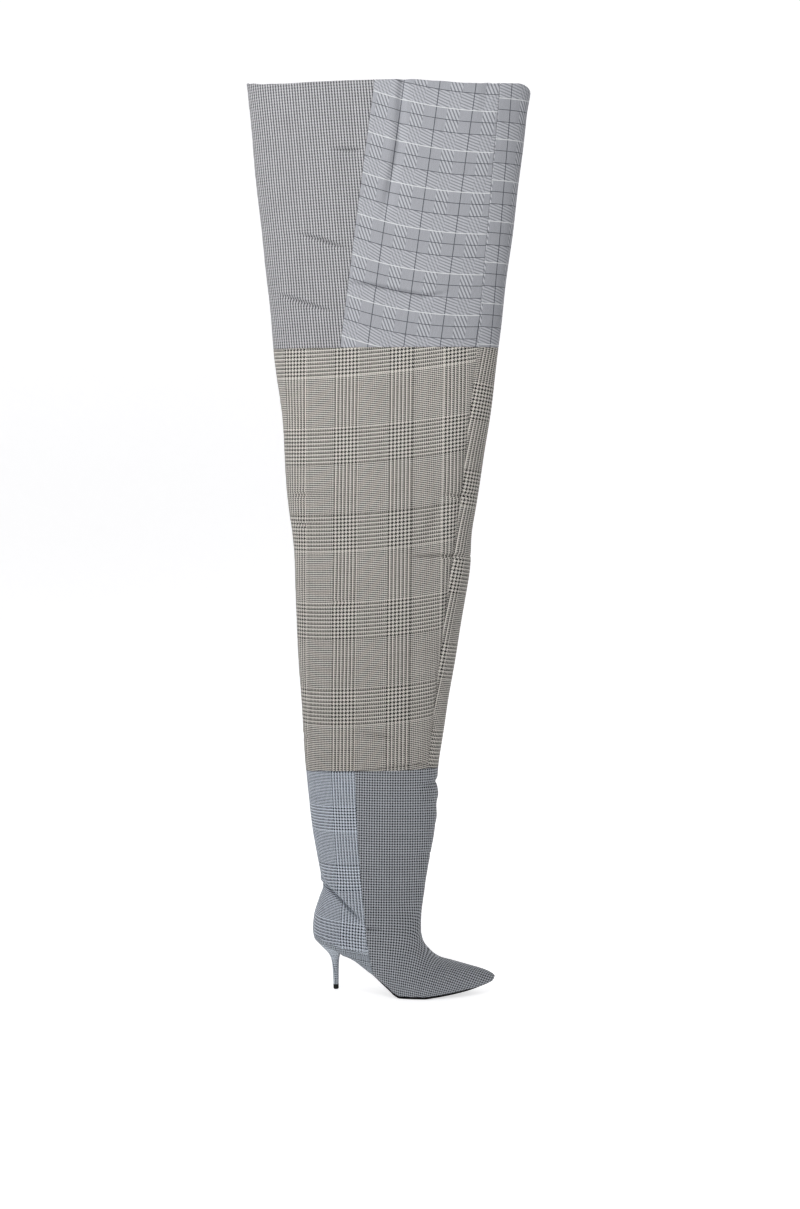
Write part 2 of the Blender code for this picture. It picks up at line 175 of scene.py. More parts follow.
HEEL = (
    HeelRow(1.5, 68.9, 37.4, 53.3, 43.0, 14.0),
    HeelRow(7.4, 62.6, 37.2, 51.2, 38.4, 9.0),
    HeelRow(12.8, 56.6, 36.6, 48.8, 31.5, 6.0),
    HeelRow(17.8, 51.4, 35.9, 46.2, 25.0, 4.6),
    HeelRow(21.4, 46.2, 35.3, 43.0, 19.6, 3.8),
    HeelRow(24.1, 40.4, 34.7, 39.0, 15.2, 3.2),
    HeelRow(25.5, 33.0, 34.3, 32.4, 11.8, 2.6),
    HeelRow(26.6, 20.0, 34.1, 20.0, 9.2, 2.4),
    HeelRow(27.2, 6.3, 34.1, 6.3, 8.4, 2.4),
)
TOP_LIFT = (
    HeelRow(27.5, 6.0, 33.8, 6.0, 7.8, 2.4),
    HeelRow(27.1, 5.5, 34.2, 5.5, 8.6, 2.4),
    HeelRow(27.1, 3.0, 34.2, 3.0, 8.6, 2.4),
    HeelRow(27.2, 0.6, 34.1, 0.6, 8.4, 2.4),
    HeelRow(27.6, 0.0, 33.7, 0.0, 7.6, 2.4),
)
HEEL_MIDDLE = 0.47


def in_part(x: float, y: float, z: float) -> Vector:
    """A point in metres, from millimetres ahead of the heel's back, across and above the floor."""
    return Vector(((x - HEEL_TO_ORIGIN) * MM, y * MM, z * MM))


def slope_between(before: float, after: float) -> float:
    """The slope where two steps meet, flat where they turn."""
    return 0.0 if before * after <= 0.0 else 2.0 * before * after / (before + after)


def smooth_row(rows: Sequence[Any], t: float) -> Any:
    """Reads a table between its rows, on smooth curves that don't overshoot.

    Args:
        rows: The table's rows, all of one kind.
        t: The place, counted in rows from the first.

    Returns:
        A row of the same kind.
    """
    first = max(0, min(int(t), len(rows) - 2))
    share = t - first
    values = []
    for column in zip(*rows[max(first - 1, 0) : first + 3]):
        here = 0 if first == 0 else 1
        steps = [after - before for before, after in zip(column, column[1:])]
        rise = steps[here]
        begin = slope_between(steps[here - 1], rise) if first > 0 else rise
        end = slope_between(rise, steps[here + 1]) if here + 1 < len(steps) else rise
        bend = 3.0 * rise - 2.0 * begin - end
        values.append(column[here] + share * begin + share**2 * bend + share**3 * (begin + end - 2.0 * rise))
    return type(rows[0])(*values)


def between(low: float, high: float, value: float) -> float:
    """A soft step from 0 at the low value to 1 at the high one."""
    share = max(0.0, min(1.0, (value - low) / (high - low)))
    return share * share * (3.0 - 2.0 * share)


def spread(length: float, count: int, steps: Sequence[float]) -> list[float]:
    """Distances across a panel, close together at its two edges and even between them.

    Args:
        length: The whole distance.
        count: How many even steps lie between the close ones.
        steps: The close distances from an edge, from zero up.

    Returns:
        The distances in rising order.
    """
    scale = min(1.0, length / (4.0 * steps[-1]))
    near = [step * scale for step in steps]
    inner = length - 2.0 * near[-1]
    middle = [near[-1] + inner * i / count for i in range(1, count)]
    return near + middle + [length - step for step in reversed(near)]


class Measured:
    """A run of values against the distance along them, read both ways."""

    def __init__(self, values: Sequence[float], distances: Sequence[float]) -> None:
        """Keeps the values and the distances, both rising."""
        self.values = values
        self.distances = distances

    @property
    def length(self) -> float:
        """The whole distance."""
        return self.distances[-1]

    def value_at(self, distance: float) -> float:
        """The value at a distance."""
        return self.read(self.distances, self.values, distance)

    def distance_to(self, value: float) -> float:
        """The distance at a value."""
        return self.read(self.values, self.distances, value)

    @staticmethod
    def read(keys: Sequence[float], results: Sequence[float], key: float) -> float:
        """Reads one run against the other, in straight lines between its entries."""
        last = max(0, min(bisect_right(keys, key) - 1, len(keys) - 2))
        step = keys[last + 1] - keys[last]
        share = 0.0 if step == 0.0 else max(0.0, min(1.0, (key - keys[last]) / step))
        return results[last] + share * (results[last + 1] - results[last])


def read_table(table: Sequence[tuple[float, float]], key: float) -> float:
    """Reads a table of pairs at a key, softly between its entries."""
    keys, results = zip(*table)
    last = max(0, min(bisect_right(keys, key) - 1, len(keys) - 2))
    return results[last] + (results[last + 1] - results[last]) * between(keys[last], keys[last + 1], key)


class BootForm:
    """The form that all the cloth is shaped over, in sections from the toe to the collar."""

    GIRTH_SAMPLES = 240
    PLACE_SAMPLES = 30
    LOWER_SEAM_HEIGHT = 290.5
    LOWER_SEAM_REACH = 75.0
    COLLAR_HEIGHT = 1200.5
    COLLAR_BEGINS = 1080.0
    CORNER_BEGINS = 1155.0
    CORNER_LENGTH = 16.0
    CORNER_DROP = 10.0

    def __init__(self) -> None:
        """Joins the foot's and the leg's tables into one run of sections."""
        foot = [
            Section(
                row.base_x, row.base_z, row.top_x, row.top_z,
                row.width * BALL_WIDTH / 2, row.base_width * BALL_WIDTH / 2,
                row.centre_y, row.widest, row.back_power,
            )
            for row in FOOT
        ]
        leg = [
            Section(
                row.back_x, row.back_z, row.front_x, row.front_z,
                row.width * SHAFT_WIDTH / 2, 0.0, 0.0, 0.5, row.back_power,
            )
            for row in LEG
        ]
        self.sections = foot + leg

    def section(self, place: float) -> Section:
        """The section at a place in rows from the toe, its cloth drawn over the sole's toe and waist."""
        section = smooth_row(self.sections, place)
        if place >= HEEL_BACK:
            return section
        return section._replace(base_z=section.base_z - read_table(EDGE_COVER, place))

    @classmethod
    def sway(cls, section: Section, turn: float) -> float:
        """How far the lower seam and the collar stand off their level rows, in millimetres upwards."""
        height = (section.base_z + section.top_z) / 2
        off_seam = between(0.0, cls.LOWER_SEAM_REACH, abs(height - cls.LOWER_SEAM_HEIGHT))
        seam = read_table(LOWER_SEAM_LIFT, turn) * (1.0 - off_seam)
        near_collar = between(cls.COLLAR_BEGINS, cls.COLLAR_HEIGHT, height)
        collar = (HEM_RADIUS + read_table(COLLAR_DROP, turn)) * near_collar
        ahead = max(0.0, 1.0 - (section.top_x - cls.outline(section, turn).x) / cls.CORNER_LENGTH)
        corner = cls.CORNER_DROP * (1.0 - math.sqrt(max(0.0, 1.0 - ahead**2)))
        return seam - collar - corner * between(cls.CORNER_BEGINS, cls.COLLAR_HEIGHT, height)

    @staticmethod
    def outline(section: Section, turn: float) -> Vector:
        """A point of a section's outline.

        Args:
            section: The section.
            turn: From 0, the base's outer side, over 1, the top, to 2, the base's inner side.

        Returns:
            The point in millimetres ahead of the heel's back, across and above the floor.
        """
        side = -1.0 if turn <= 1.0 else 1.0
        angle = math.pi * (turn if turn <= 1.0 else 2.0 - turn)
        across = max(math.sin(angle), 0.0)
        along = abs(math.cos(angle))
        if angle <= math.pi / 2:
            power = 2.0 / section.back_power
            share = section.widest * (1.0 - along**power)
            reach = section.base_half + (section.half - section.base_half) * across**power
        else:
            share = section.widest + (1.0 - section.widest) * along
            reach = section.half * across
        x = section.base_x + (section.top_x - section.base_x) * share
        z = section.base_z + (section.top_z - section.base_z) * share
        return Vector((x, section.centre_y + side * reach, z))

    def girth(self, section: Section) -> Measured:
        """The turns of a section against the length of cloth along its outline."""
        turns = [2.0 * i / self.GIRTH_SAMPLES for i in range(self.GIRTH_SAMPLES + 1)]
        points = [self.outline(section, turn) for turn in turns]
        lengths = [0.0]
        for before, after in zip(points, points[1:]):
            lengths.append(lengths[-1] + (after - before).length)
        return Measured(turns, lengths)

    def climb(self, first: float, last: float) -> Measured:
        """The places from one to another against the longest way between them over the cloth."""
        count = int((last - first) * self.PLACE_SAMPLES) + 1
        places = [first + (last - first) * i / count for i in range(count + 1)]
        rings = [[self.outline(self.section(place), turn) for turn in (0.0, 0.5, 1.0)] for place in places]
        lengths = [0.0]
        for before, after in zip(rings, rings[1:]):
            lengths.append(lengths[-1] + max((b - a).length for a, b in zip(before, after)))
        return Measured(places, lengths)

    @staticmethod
    def flat(section: Section, girth: Measured, turn: float) -> tuple[float, float]:
        """Where a point of a section comes to lie when the cloth is unrolled onto the boot's side plane.

        Args:
            section: The section.
            girth: Its measured girth.
            turn: The point's turn.

        Returns:
            How far ahead of the heel's back and how high it then lies, in millimetres.
        """
        run, rise = section.top_x - section.base_x, section.top_z - section.base_z
        chord = math.hypot(run, rise)
        along = section.widest * chord + girth.distance_to(turn) - girth.distance_to(0.5)
        return section.base_x + run * along / chord, section.base_z + rise * along / chord


FORM = BootForm()


@dataclass(frozen=True)
class SeamLine:
    """A seam on the outer side, as points ahead of the heel's back and above the floor, from high to low."""

    points: tuple[tuple[float, float], ...]

    def ahead_at(self, z: float) -> float:
        """How far forward the seam is at a height, going straight on beyond its ends."""
        pairs = list(zip(self.points, self.points[1:]))
        for (high_x, high_z), (low_x, low_z) in pairs:
            if z >= low_z:
                break
        return high_x + (low_x - high_x) * (high_z - z) / (high_z - low_z)

    def turn(self, section: Section) -> float:
        """The turn at which a section crosses the seam, or 0 where it lies wholly ahead of it."""
        low, high = 0.0, 1.0
        for _ in range(40):
            middle = (low + high) / 2
            point = FORM.outline(section, middle)
            if point.x < self.ahead_at(point.z):
                low = middle
            else:
                high = middle
        return (low + high) / 2 if low > 0.0 else 0.0


QUARTER_SEAM = SeamLine((
    (61.2, 296.0), (64.5, 211.0), (68.3, 156.0), (71.7, 120.0), (75.9, 75.0), (82.2, 41.3),
))
MIDDLE_FRONT_SEAM = SeamLine((
    (221.6, 851.0), (211.2, 756.0), (200.0, 651.0), (188.8, 572.0), (172.4, 440.0), (156.6, 296.0),
))
TOP_SIDE_SEAM = SeamLine(((88.2, 1201.0), (42.6, 850.4)))
TOP_FRONT_SEAM = SeamLine(((251.4, 1200.0), (220.8, 851.0)))


class Side(Enum):
    """Which side of the boot a fold lies on."""

    OUTER = -1
    INNER = 1
    BOTH = 0


@dataclass(frozen=True)
class Crease:
    """A fold in the cloth along given points of the side view, with a trough and a lip above it."""

    points: tuple[tuple[float, float], ...]
    depth: float
    width: float
    lip: float = 0.0
    lip_reach: float = 8.0
    begin: float = 0.0
    end: float = 0.4
    side: Side = Side.OUTER

    def height(self, point: Vector) -> float:
        """How far out the fold pushes the cloth at a point, in millimetres."""
        if self.side is not Side.BOTH and point.y * self.side.value < 0.0:
            return 0.0
        reach = 4.0 * max(self.width, self.lip_reach)
        xs, zs = [p[0] for p in self.points], [p[1] for p in self.points]
        if not (min(xs) - reach < point.x < max(xs) + reach and min(zs) - reach < point.z < max(zs) + reach):
            return 0.0
        best, away, share = 1e9, 0.0, 0.0
        spans = list(zip(self.points, self.points[1:]))
        for index, ((ax, az), (bx, bz)) in enumerate(spans):
            run, rise = bx - ax, bz - az
            length = math.hypot(run, rise)
            along = ((point.x - ax) * run + (point.z - az) * rise) / length**2
            held = max(0.0, min(1.0, along))
            gap = math.hypot(point.x - ax - held * run, point.z - az - held * rise)
            if gap < best:
                best = gap
                away = math.copysign(gap, (point.z - az) * run - (point.x - ax) * rise)
                share = (index + along) / len(spans)
        strength = between(-0.02, self.begin + 0.02, share) * (1.0 - between(1.0 - self.end, 1.05, share))
        out = -self.depth * math.exp(-((away / self.width) ** 2))
        if away > 0.0:
            out += self.lip * (1.0 - math.exp(-away / self.width)) * math.exp(-((away / self.lip_reach) ** 2))
        return out * strength


ANKLE_FOLD = Crease(
    ((8.0, 146.5), (15.7, 143.4), (25.9, 138.2), (40.5, 127.2), (54.3, 114.1), (61.8, 106.8), (74.0, 97.5)),
    depth=6.0, width=1.8, lip=4.6, lip_reach=13.0, begin=0.16, end=0.34,
)
ANKLE_BULGE = Crease(
    ((14.0, 130.0), (24.0, 124.0), (40.0, 108.0), (58.0, 94.0)),
    depth=-1.2, width=8.0, begin=0.2, end=0.6,
)
INNER_ANKLE_FOLD = Crease(
    ((8.0, 146.5), (15.7, 143.4), (27.0, 136.0), (40.0, 126.0), (52.0, 114.0)),
    depth=4.0, width=1.9, lip=3.0, lip_reach=12.0, begin=0.3, end=0.6, side=Side.INNER,
)
LOWER_CREASES = (
    ANKLE_FOLD,
    ANKLE_BULGE,
    INNER_ANKLE_FOLD,
    Crease(((168.0, 279.0), (152.0, 276.0), (136.0, 277.0)), depth=2.6, width=3.6, end=0.8, side=Side.BOTH),
    Crease(
        ((168.0, 262.0), (150.0, 262.0), (134.0, 266.0)),
        depth=-2.0, width=8.0, end=0.8, side=Side.BOTH,
    ),
    Crease(
        ((166.0, 232.0), (150.0, 238.0), (138.0, 248.0)),
        depth=-1.2, width=9.0, end=0.8, side=Side.BOTH,
    ),
    Crease(((156.0, 186.0), (140.0, 180.0), (124.0, 181.0)), depth=1.2, width=4.0, end=0.8, side=Side.BOTH),
    Crease(
        ((148.0, 80.0), (137.0, 78.0), (124.0, 75.0)),
        depth=1.8, width=3.4, begin=0.5, end=0.6, side=Side.BOTH,
    ),
    Crease(((76.0, 89.0), (90.0, 89.0), (104.0, 87.0)), depth=3.4, width=2.3, lip=1.4, end=0.7),
)
MIDDLE_CREASES = (
    Crease(
        ((58.0, 297.0), (82.2, 298.9), (101.8, 302.0), (120.3, 304.4), (133.3, 305.8), (158.0, 306.8)),
        depth=1.9, width=1.3, lip=1.9, lip_reach=9.0, begin=0.15, end=0.1,
    ),
    Crease(MIDDLE_FRONT_SEAM.points, depth=2.2, width=3.4, begin=0.3, end=0.05),
    Crease(
        ((214.0, 577.0), (172.0, 578.0), (122.0, 577.0)),
        depth=5.0, width=2.6, lip=2.4, begin=0.25, end=0.35, side=Side.BOTH,
    ),
    Crease(
        ((218.0, 657.0), (194.0, 657.0), (169.0, 659.0)),
        depth=4.2, width=2.5, lip=1.8, begin=0.25, end=0.5, side=Side.BOTH,
    ),
    Crease(
        ((-28.0, 656.0), (4.0, 658.0), (34.0, 661.0)),
        depth=2.8, width=2.6, lip=1.2, begin=0.2, end=0.6, side=Side.BOTH,
    ),
    Crease(
        ((-26.0, 620.0), (-6.0, 617.0), (16.0, 619.0)),
        depth=3.2, width=2.6, lip=1.4, begin=0.3, end=0.5, side=Side.BOTH,
    ),
    Crease(
        ((16.0, 518.0), (46.0, 517.0), (72.0, 517.0)),
        depth=2.8, width=2.6, lip=1.2, begin=0.3, end=0.6,
    ),
    Crease(
        ((56.0, 348.0), (90.0, 346.0), (124.0, 338.0)),
        depth=3.6, width=2.6, lip=1.6, begin=0.4, end=0.4,
    ),
    Crease(((-14.0, 337.0), (2.0, 338.0), (18.0, 340.0)), depth=1.8, width=3.0, lip=0.8, end=0.7),
    Crease(
        ((20.0, 420.0), (70.0, 405.0), (120.0, 392.0)),
        depth=-0.8, width=15.0, begin=0.3, end=0.7, side=Side.BOTH,
    ),
    Crease(((182.0, 680.0), (168.0, 623.0), (140.0, 576.0)), depth=2.4, width=9.0, begin=0.4, end=0.6),
    Crease(
        ((150.0, 780.0), (185.0, 740.0), (214.0, 690.0)),
        depth=1.0, width=12.0, begin=0.3, end=0.6, side=Side.BOTH,
    ),
)
TOP_CREASES = (
    Crease(
        ((25.0, 1109.0), (51.0, 1108.0), (77.0, 1107.0)),
        depth=3.8, width=2.8, lip=1.6, begin=0.4, end=0.3,
    ),
    Crease(
        ((-20.0, 1001.0), (18.0, 992.0), (53.0, 978.0)),
        depth=4.8, width=2.7, lip=2.4, begin=0.4, end=0.3,
    ),
    Crease(
        ((-50.0, 925.0), (-4.0, 909.0), (40.0, 894.0)),
        depth=4.4, width=2.7, lip=2.0, begin=0.3, end=0.4,
    ),
    Crease(
        ((36.0, 938.0), (88.0, 930.0), (153.0, 916.0), (190.0, 922.0)),
        depth=4.4, width=2.8, lip=2.0, begin=0.3,
    ),
    Crease(
        ((127.0, 1206.0), (123.0, 1171.0), (120.0, 1113.0), (107.0, 1053.0), (97.0, 1006.0)),
        depth=4.6, width=5.4, end=0.35,
    ),
    Crease(
        ((36.0, 940.0), (44.0, 905.0), (40.0, 868.0)),
        depth=1.2, width=6.0, lip=0.8, begin=0.2, end=0.6,
    ),
    Crease(((62.0, 1130.0), (56.0, 1075.0), (44.0, 1010.0)), depth=0.9, width=9.0, begin=0.3, end=0.7),
    Crease(
        ((-60.0, 1000.0), (-10.0, 985.0), (30.0, 960.0)),
        depth=0.8, width=14.0, begin=0.3, end=0.7, side=Side.BOTH,
    ),
    Crease(
        ((120.0, 1000.0), (165.0, 950.0), (205.0, 900.0)),
        depth=0.9, width=14.0, begin=0.3, end=0.7, side=Side.BOTH,
    ),
    Crease(((236.0, 1192.0), (230.0, 1160.0), (226.0, 1130.0)), depth=1.4, width=6.0, end=0.8),
)


@dataclass(frozen=True)
class Lay:
    """How a cloth's grain lies on a panel: its starting point, turn, skew and sag in the middle."""

    ahead: float = 0.0
    up: float = 0.0
    turned: float = 0.0
    askew: float = 0.0
    sag: float = 0.0
    middle: float = 0.0
    half: float = 100.0

    def place(self, x: float, z: float) -> tuple[float, float]:
        """Where a point of the unrolled panel lies in the cloth, in metres along its weft and its warp."""
        angle = math.radians(self.turned)
        run, rise = x - self.ahead, z - self.up
        across = run * math.cos(angle) + rise * math.sin(angle)
        along = rise * math.cos(angle) - run * math.sin(angle)
        along -= across * math.tan(math.radians(self.askew))
        along += self.sag * (self.middle**2 - (across - self.middle) ** 2) / self.half**2
        return across * MM, along * MM


class NodeBench:
    """Adds nodes to one tree and wires them."""

    def __init__(self, tree: bpy.types.NodeTree) -> None:
        """Takes the tree to work on."""
        self.tree = tree

    def add(self, kind: str, **settings: Any) -> bpy.types.Node:
        """A new node of a kind, with its settings."""
        node = self.tree.nodes.new(kind)
        for name, value in settings.items():
            setattr(node, name, value)
        return node

    def feed(self, socket: Socket, value: Any) -> None:
        """Gives a socket a link or a plain value."""
        if isinstance(value, Socket):
            self.tree.links.new(value, socket)
        else:
            socket.default_value = value

    def math(self, operation: str, *values: Any) -> Socket:
        """The result of one sum on numbers or sockets."""
        node = self.add("ShaderNodeMath", operation=operation)
        for socket, value in zip(node.inputs, values):
            self.feed(socket, value)
        return node.outputs[0]

    def pick(self, factor: Any, first: Any, second: Any) -> Socket:
        """The first value where the factor is 0, and the second where it is 1."""
        step = self.math("SUBTRACT", second, first)
        node = self.add("ShaderNodeMath", operation="MULTIPLY_ADD")
        for socket, value in zip(node.inputs, (factor, step, first)):
            self.feed(socket, value)
        return node.outputs[0]

    def within(self, value: Any, repeat: Any, low: Any, high: Any) -> Socket:
        """1 where a repeating value lies between two limits, and 0 elsewhere."""
        inside = self.math("FLOORED_MODULO", value, repeat)
        above = self.math("GREATER_THAN", inside, low)
        return self.math("MULTIPLY", above, self.math("LESS_THAN", inside, high))

    def blend(self, factor: Any, first: Any, second: Any, mode: str = "MIX") -> Socket:
        """A blend of two colours."""
        node = self.add("ShaderNodeMix", data_type="RGBA", blend_type=mode)
        for socket, value in zip((node.inputs[0], node.inputs[6], node.inputs[7]), (factor, first, second)):
            self.feed(socket, value)
        return node.outputs[2]

    def group(self, tree: bpy.types.NodeTree, **values: Any) -> bpy.types.Node:
        """A group placed in this tree, with its inputs named with underscores for spaces."""
        node = self.add("ShaderNodeGroup", node_tree=tree)
        for name, value in values.items():
            self.feed(node.inputs[name.replace("_", " ").title()], value)
        return node


class ShaderGroups:
    """The effects that several finishes share, each built once."""

    @staticmethod
    def start(name: str, takes: dict[str, str], gives: dict[str, str]) -> tuple[NodeBench, Any, Any]:
        """A new group with named sockets.

        Args:
            name: The group's name.
            takes: Its inputs and their kinds.
            gives: Its outputs and their kinds.

        Returns:
            A bench for the group, its inputs and its outputs.
        """
        tree = bpy.data.node_groups.new(name, "ShaderNodeTree")
        for label, kind in takes.items():
            tree.interface.new_socket(name=label, in_out="INPUT", socket_type="NodeSocket" + kind)
        for label, kind in gives.items():
            tree.interface.new_socket(name=label, in_out="OUTPUT", socket_type="NodeSocket" + kind)
        bench = NodeBench(tree)
        return bench, bench.add("NodeGroupInput").outputs, bench.add("NodeGroupOutput").inputs

    @classmethod
    def weave(cls) -> bpy.types.NodeTree:
        """A twill of light and dark yarns, whose broad and fine stripes cross as a check."""
        name = "suiting weave"
        if name in bpy.data.node_groups:
            return bpy.data.node_groups[name]
        repeats = ("Warp Repeat", "Warp Band", "Weft Repeat", "Weft Band")
        numbers = ("Yarn", "Broad", "Fine", "Face", *repeats, "Slub")
        takes = {"Cut": "Vector", **dict.fromkeys(numbers, "Float"), "Light": "Color", "Dark": "Color"}
        bench, taken, given = cls.start(name, takes, {"Color": "Color", "Height": "Float", "Nap": "Float"})
        apart = bench.add("ShaderNodeSeparateXYZ")
        bench.feed(apart.inputs[0], taken["Cut"])
        counts, darks, crowns, slubs = [], [], [], []
        for index, thread in enumerate(("Warp", "Weft")):
            distance = apart.outputs[index]
            yarns = bench.math("DIVIDE", distance, taken["Yarn"])
            count = bench.math("FLOOR", yarns)
            stripes = []
            for width in ("Broad", "Fine"):
                pair = bench.math("MULTIPLY", taken[width], 2.0)
                in_pair = bench.math("FLOORED_MODULO", count, pair)
                stripes.append(bench.math("LESS_THAN", in_pair, taken[width]))
            here = bench.math("FLOORED_MODULO", distance, taken[thread + " Repeat"])
            banded = bench.math("LESS_THAN", here, taken[thread + " Band"])
            darks.append(bench.pick(banded, stripes[1], stripes[0]))
            off_centre = bench.math("MULTIPLY_ADD", bench.math("FRACT", yarns), 2.0, -1.0)
            crowns.append(bench.math("SUBTRACT", 1.0, bench.math("MULTIPLY", off_centre, off_centre)))
            noise = bench.add("ShaderNodeTexWhiteNoise", noise_dimensions="1D")
            bench.feed(noise.inputs["W"], bench.math("ADD", count, 0.5 + 7000.0 * index))
            slubs.append(noise.outputs["Value"])
            counts.append(count)
        diagonal = bench.math("FLOORED_MODULO", bench.math("SUBTRACT", counts[0], counts[1]), 4.0)
        warp_up = bench.math("LESS_THAN", diagonal, taken["Face"])
        dark = bench.pick(warp_up, darks[1], darks[0])
        colour = bench.blend(dark, taken["Light"], taken["Dark"])
        slub = bench.math("SUBTRACT", bench.pick(warp_up, slubs[1], slubs[0]), 0.5)
        fibre = bench.add("ShaderNodeTexNoise")
        bench.feed(fibre.inputs["Vector"], taken["Cut"])
        fibre.inputs["Scale"].default_value = 38.0
        fibre.inputs["Detail"].default_value = 6.0
        cloud = bench.math("MULTIPLY_ADD", fibre.outputs[0], 0.16, -0.08)
        tone = bench.math("ADD", bench.math("MULTIPLY_ADD", slub, taken["Slub"], 1.0), cloud)
        toned = bench.add("ShaderNodeVectorMath", operation="SCALE")
        bench.feed(toned.inputs[0], colour)
        bench.feed(toned.inputs["Scale"], tone)
        bench.feed(given["Color"], toned.outputs[0])
        height = bench.pick(warp_up, crowns[1], crowns[0])
        bench.feed(given["Height"], height)
        bench.feed(given["Nap"], bench.math("MULTIPLY_ADD", height, -0.12, 0.96))
        return bench.tree

    @classmethod
    def panes(cls) -> bpy.types.NodeTree:
        """A pale twill with hatched bands both ways, and dark and white lines that cross as window panes."""
        name = "windowpane weave"
        if name in bpy.data.node_groups:
            return bpy.data.node_groups[name]
        numbers = ("Yarn", "Warp Repeat", "Weft Repeat", "Slub")
        colours = ("Light", "Dark", "Dark Line", "White Line")
        takes = {"Cut": "Vector", **dict.fromkeys(numbers, "Float"), **dict.fromkeys(colours, "Color")}
        bench, taken, given = cls.start(name, takes, {"Color": "Color", "Height": "Float", "Nap": "Float"})
        apart = bench.add("ShaderNodeSeparateXYZ")
        bench.feed(apart.inputs[0], taken["Cut"])
        across, up = apart.outputs[0], apart.outputs[1]
        column = bench.math("FLOOR", bench.math("DIVIDE", across, taken["Yarn"]))
        row = bench.math("FLOOR", bench.math("DIVIDE", up, taken["Yarn"]))
        across_share = bench.math("FRACT", bench.math("DIVIDE", across, taken["Warp Repeat"]))
        up_share = bench.math("FRACT", bench.math("DIVIDE", up, taken["Weft Repeat"]))
        steep = bench.math("MULTIPLY_ADD", row, 0.55, column)
        steep_line = bench.math("LESS_THAN", bench.math("FLOORED_MODULO", steep, 11.0), 5.0)
        shallow = bench.math("MULTIPLY_ADD", column, 0.3, row)
        shallow_line = bench.math("LESS_THAN", bench.math("FLOORED_MODULO", shallow, 9.0), 4.0)
        twill = bench.math("FLOORED_MODULO", bench.math("SUBTRACT", column, row), 4.0)
        plain = bench.math("MULTIPLY_ADD", bench.math("LESS_THAN", twill, 2.0), 0.38, 0.28)
        hatched = bench.within(across_share, 1.0, 0.316, 0.67)
        barred = bench.within(up_share, 1.0, 0.02, 0.425)
        thin = bench.math("MULTIPLY_ADD", shallow_line, 0.56, 0.16)
        dark = bench.pick(barred, plain, thin)
        steep_dark = bench.math("MULTIPLY_ADD", steep_line, 0.76, 0.08)
        both = bench.math("MULTIPLY_ADD", thin, 0.5, bench.math("MULTIPLY", steep_dark, 0.5))
        crossed = bench.pick(barred, steep_dark, both)
        dark = bench.pick(hatched, dark, crossed)
        colour = bench.blend(dark, taken["Light"], taken["Dark"])
        dark_weft = bench.math(
            "ADD", bench.within(up_share, 1.0, 0.425, 0.442), bench.within(up_share, 1.0, 0.724, 0.741)
        )
        dark_warp = bench.within(across_share, 1.0, 0.0, 0.023)
        crossing = bench.math("ADD", dark_weft, bench.math("MULTIPLY", dark_warp, 1.2))
        lines = bench.math("MINIMUM", crossing, 1.0)
        colour = bench.blend(bench.math("MULTIPLY", lines, 0.86), colour, taken["Dark Line"])
        white = bench.within(up_share, 1.0, -0.1, 0.02)
        colour = bench.blend(bench.math("MULTIPLY", white, 0.85), colour, taken["White Line"])
        noise = bench.add("ShaderNodeTexWhiteNoise", noise_dimensions="2D")
        threads = bench.add("ShaderNodeCombineXYZ")
        bench.feed(threads.inputs[0], column)
        bench.feed(threads.inputs[1], bench.math("FLOOR", bench.math("DIVIDE", row, 24.0)))
        bench.feed(noise.inputs["Vector"], threads.outputs[0])
        slub = bench.math("SUBTRACT", noise.outputs["Value"], 0.5)
        tone = bench.math("MULTIPLY_ADD", slub, taken["Slub"], 1.0)
        toned = bench.add("ShaderNodeVectorMath", operation="SCALE")
        bench.feed(toned.inputs[0], colour)
        bench.feed(toned.inputs["Scale"], tone)
        bench.feed(given["Color"], toned.outputs[0])
        height = bench.math("SUBTRACT", 1.0, dark)
        bench.feed(given["Height"], height)
        bench.feed(given["Nap"], bench.math("MULTIPLY_ADD", height, -0.1, 0.95))
        return bench.tree

    @classmethod
    def grain(cls) -> bpy.types.NodeTree:
        """A pebbled grain with fine pores, for leather and rubber."""
        name = "hide grain"
        if name in bpy.data.node_groups:
            return bpy.data.node_groups[name]
        takes = {"Place": "Vector", "Size": "Float", "Base": "Color", "Worn": "Color", "Gloss": "Float"}
        gives = {"Color": "Color", "Height": "Float", "Roughness": "Float"}
        bench, taken, given = cls.start(name, takes, gives)
        scale = bench.math("DIVIDE", 1.0, taken["Size"])
        pebble = bench.add("ShaderNodeTexVoronoi", feature="SMOOTH_F1")
        bench.feed(pebble.inputs["Vector"], taken["Place"])
        bench.feed(pebble.inputs["Scale"], scale)
        scuff = bench.add("ShaderNodeTexNoise")
        bench.feed(scuff.inputs["Vector"], taken["Place"])
        bench.feed(scuff.inputs["Scale"], bench.math("MULTIPLY", scale, 0.06))
        scuff.inputs["Detail"].default_value = 8.0
        patch = bench.math("MULTIPLY", scuff.outputs[0], scuff.outputs[0])
        bench.feed(given["Color"], bench.blend(patch, taken["Base"], taken["Worn"]))
        bench.feed(given["Height"], pebble.outputs["Distance"])
        bench.feed(given["Roughness"], bench.math("MULTIPLY_ADD", scuff.outputs[0], 0.25, taken["Gloss"]))
        return bench.tree


def new_material(name: str) -> tuple[NodeBench, bpy.types.Node]:
    """A material with an empty shader, and a bench to wire it on."""
    material = bpy.data.materials.new(name)
    material.use_nodes = True
    return NodeBench(material.node_tree), material.node_tree.nodes["Principled BSDF"]


def cut_vector(bench: NodeBench) -> Socket:
    """The place in the cloth, from the piece's own cut map."""
    return bench.add("ShaderNodeUVMap", uv_map="cut").outputs[0]


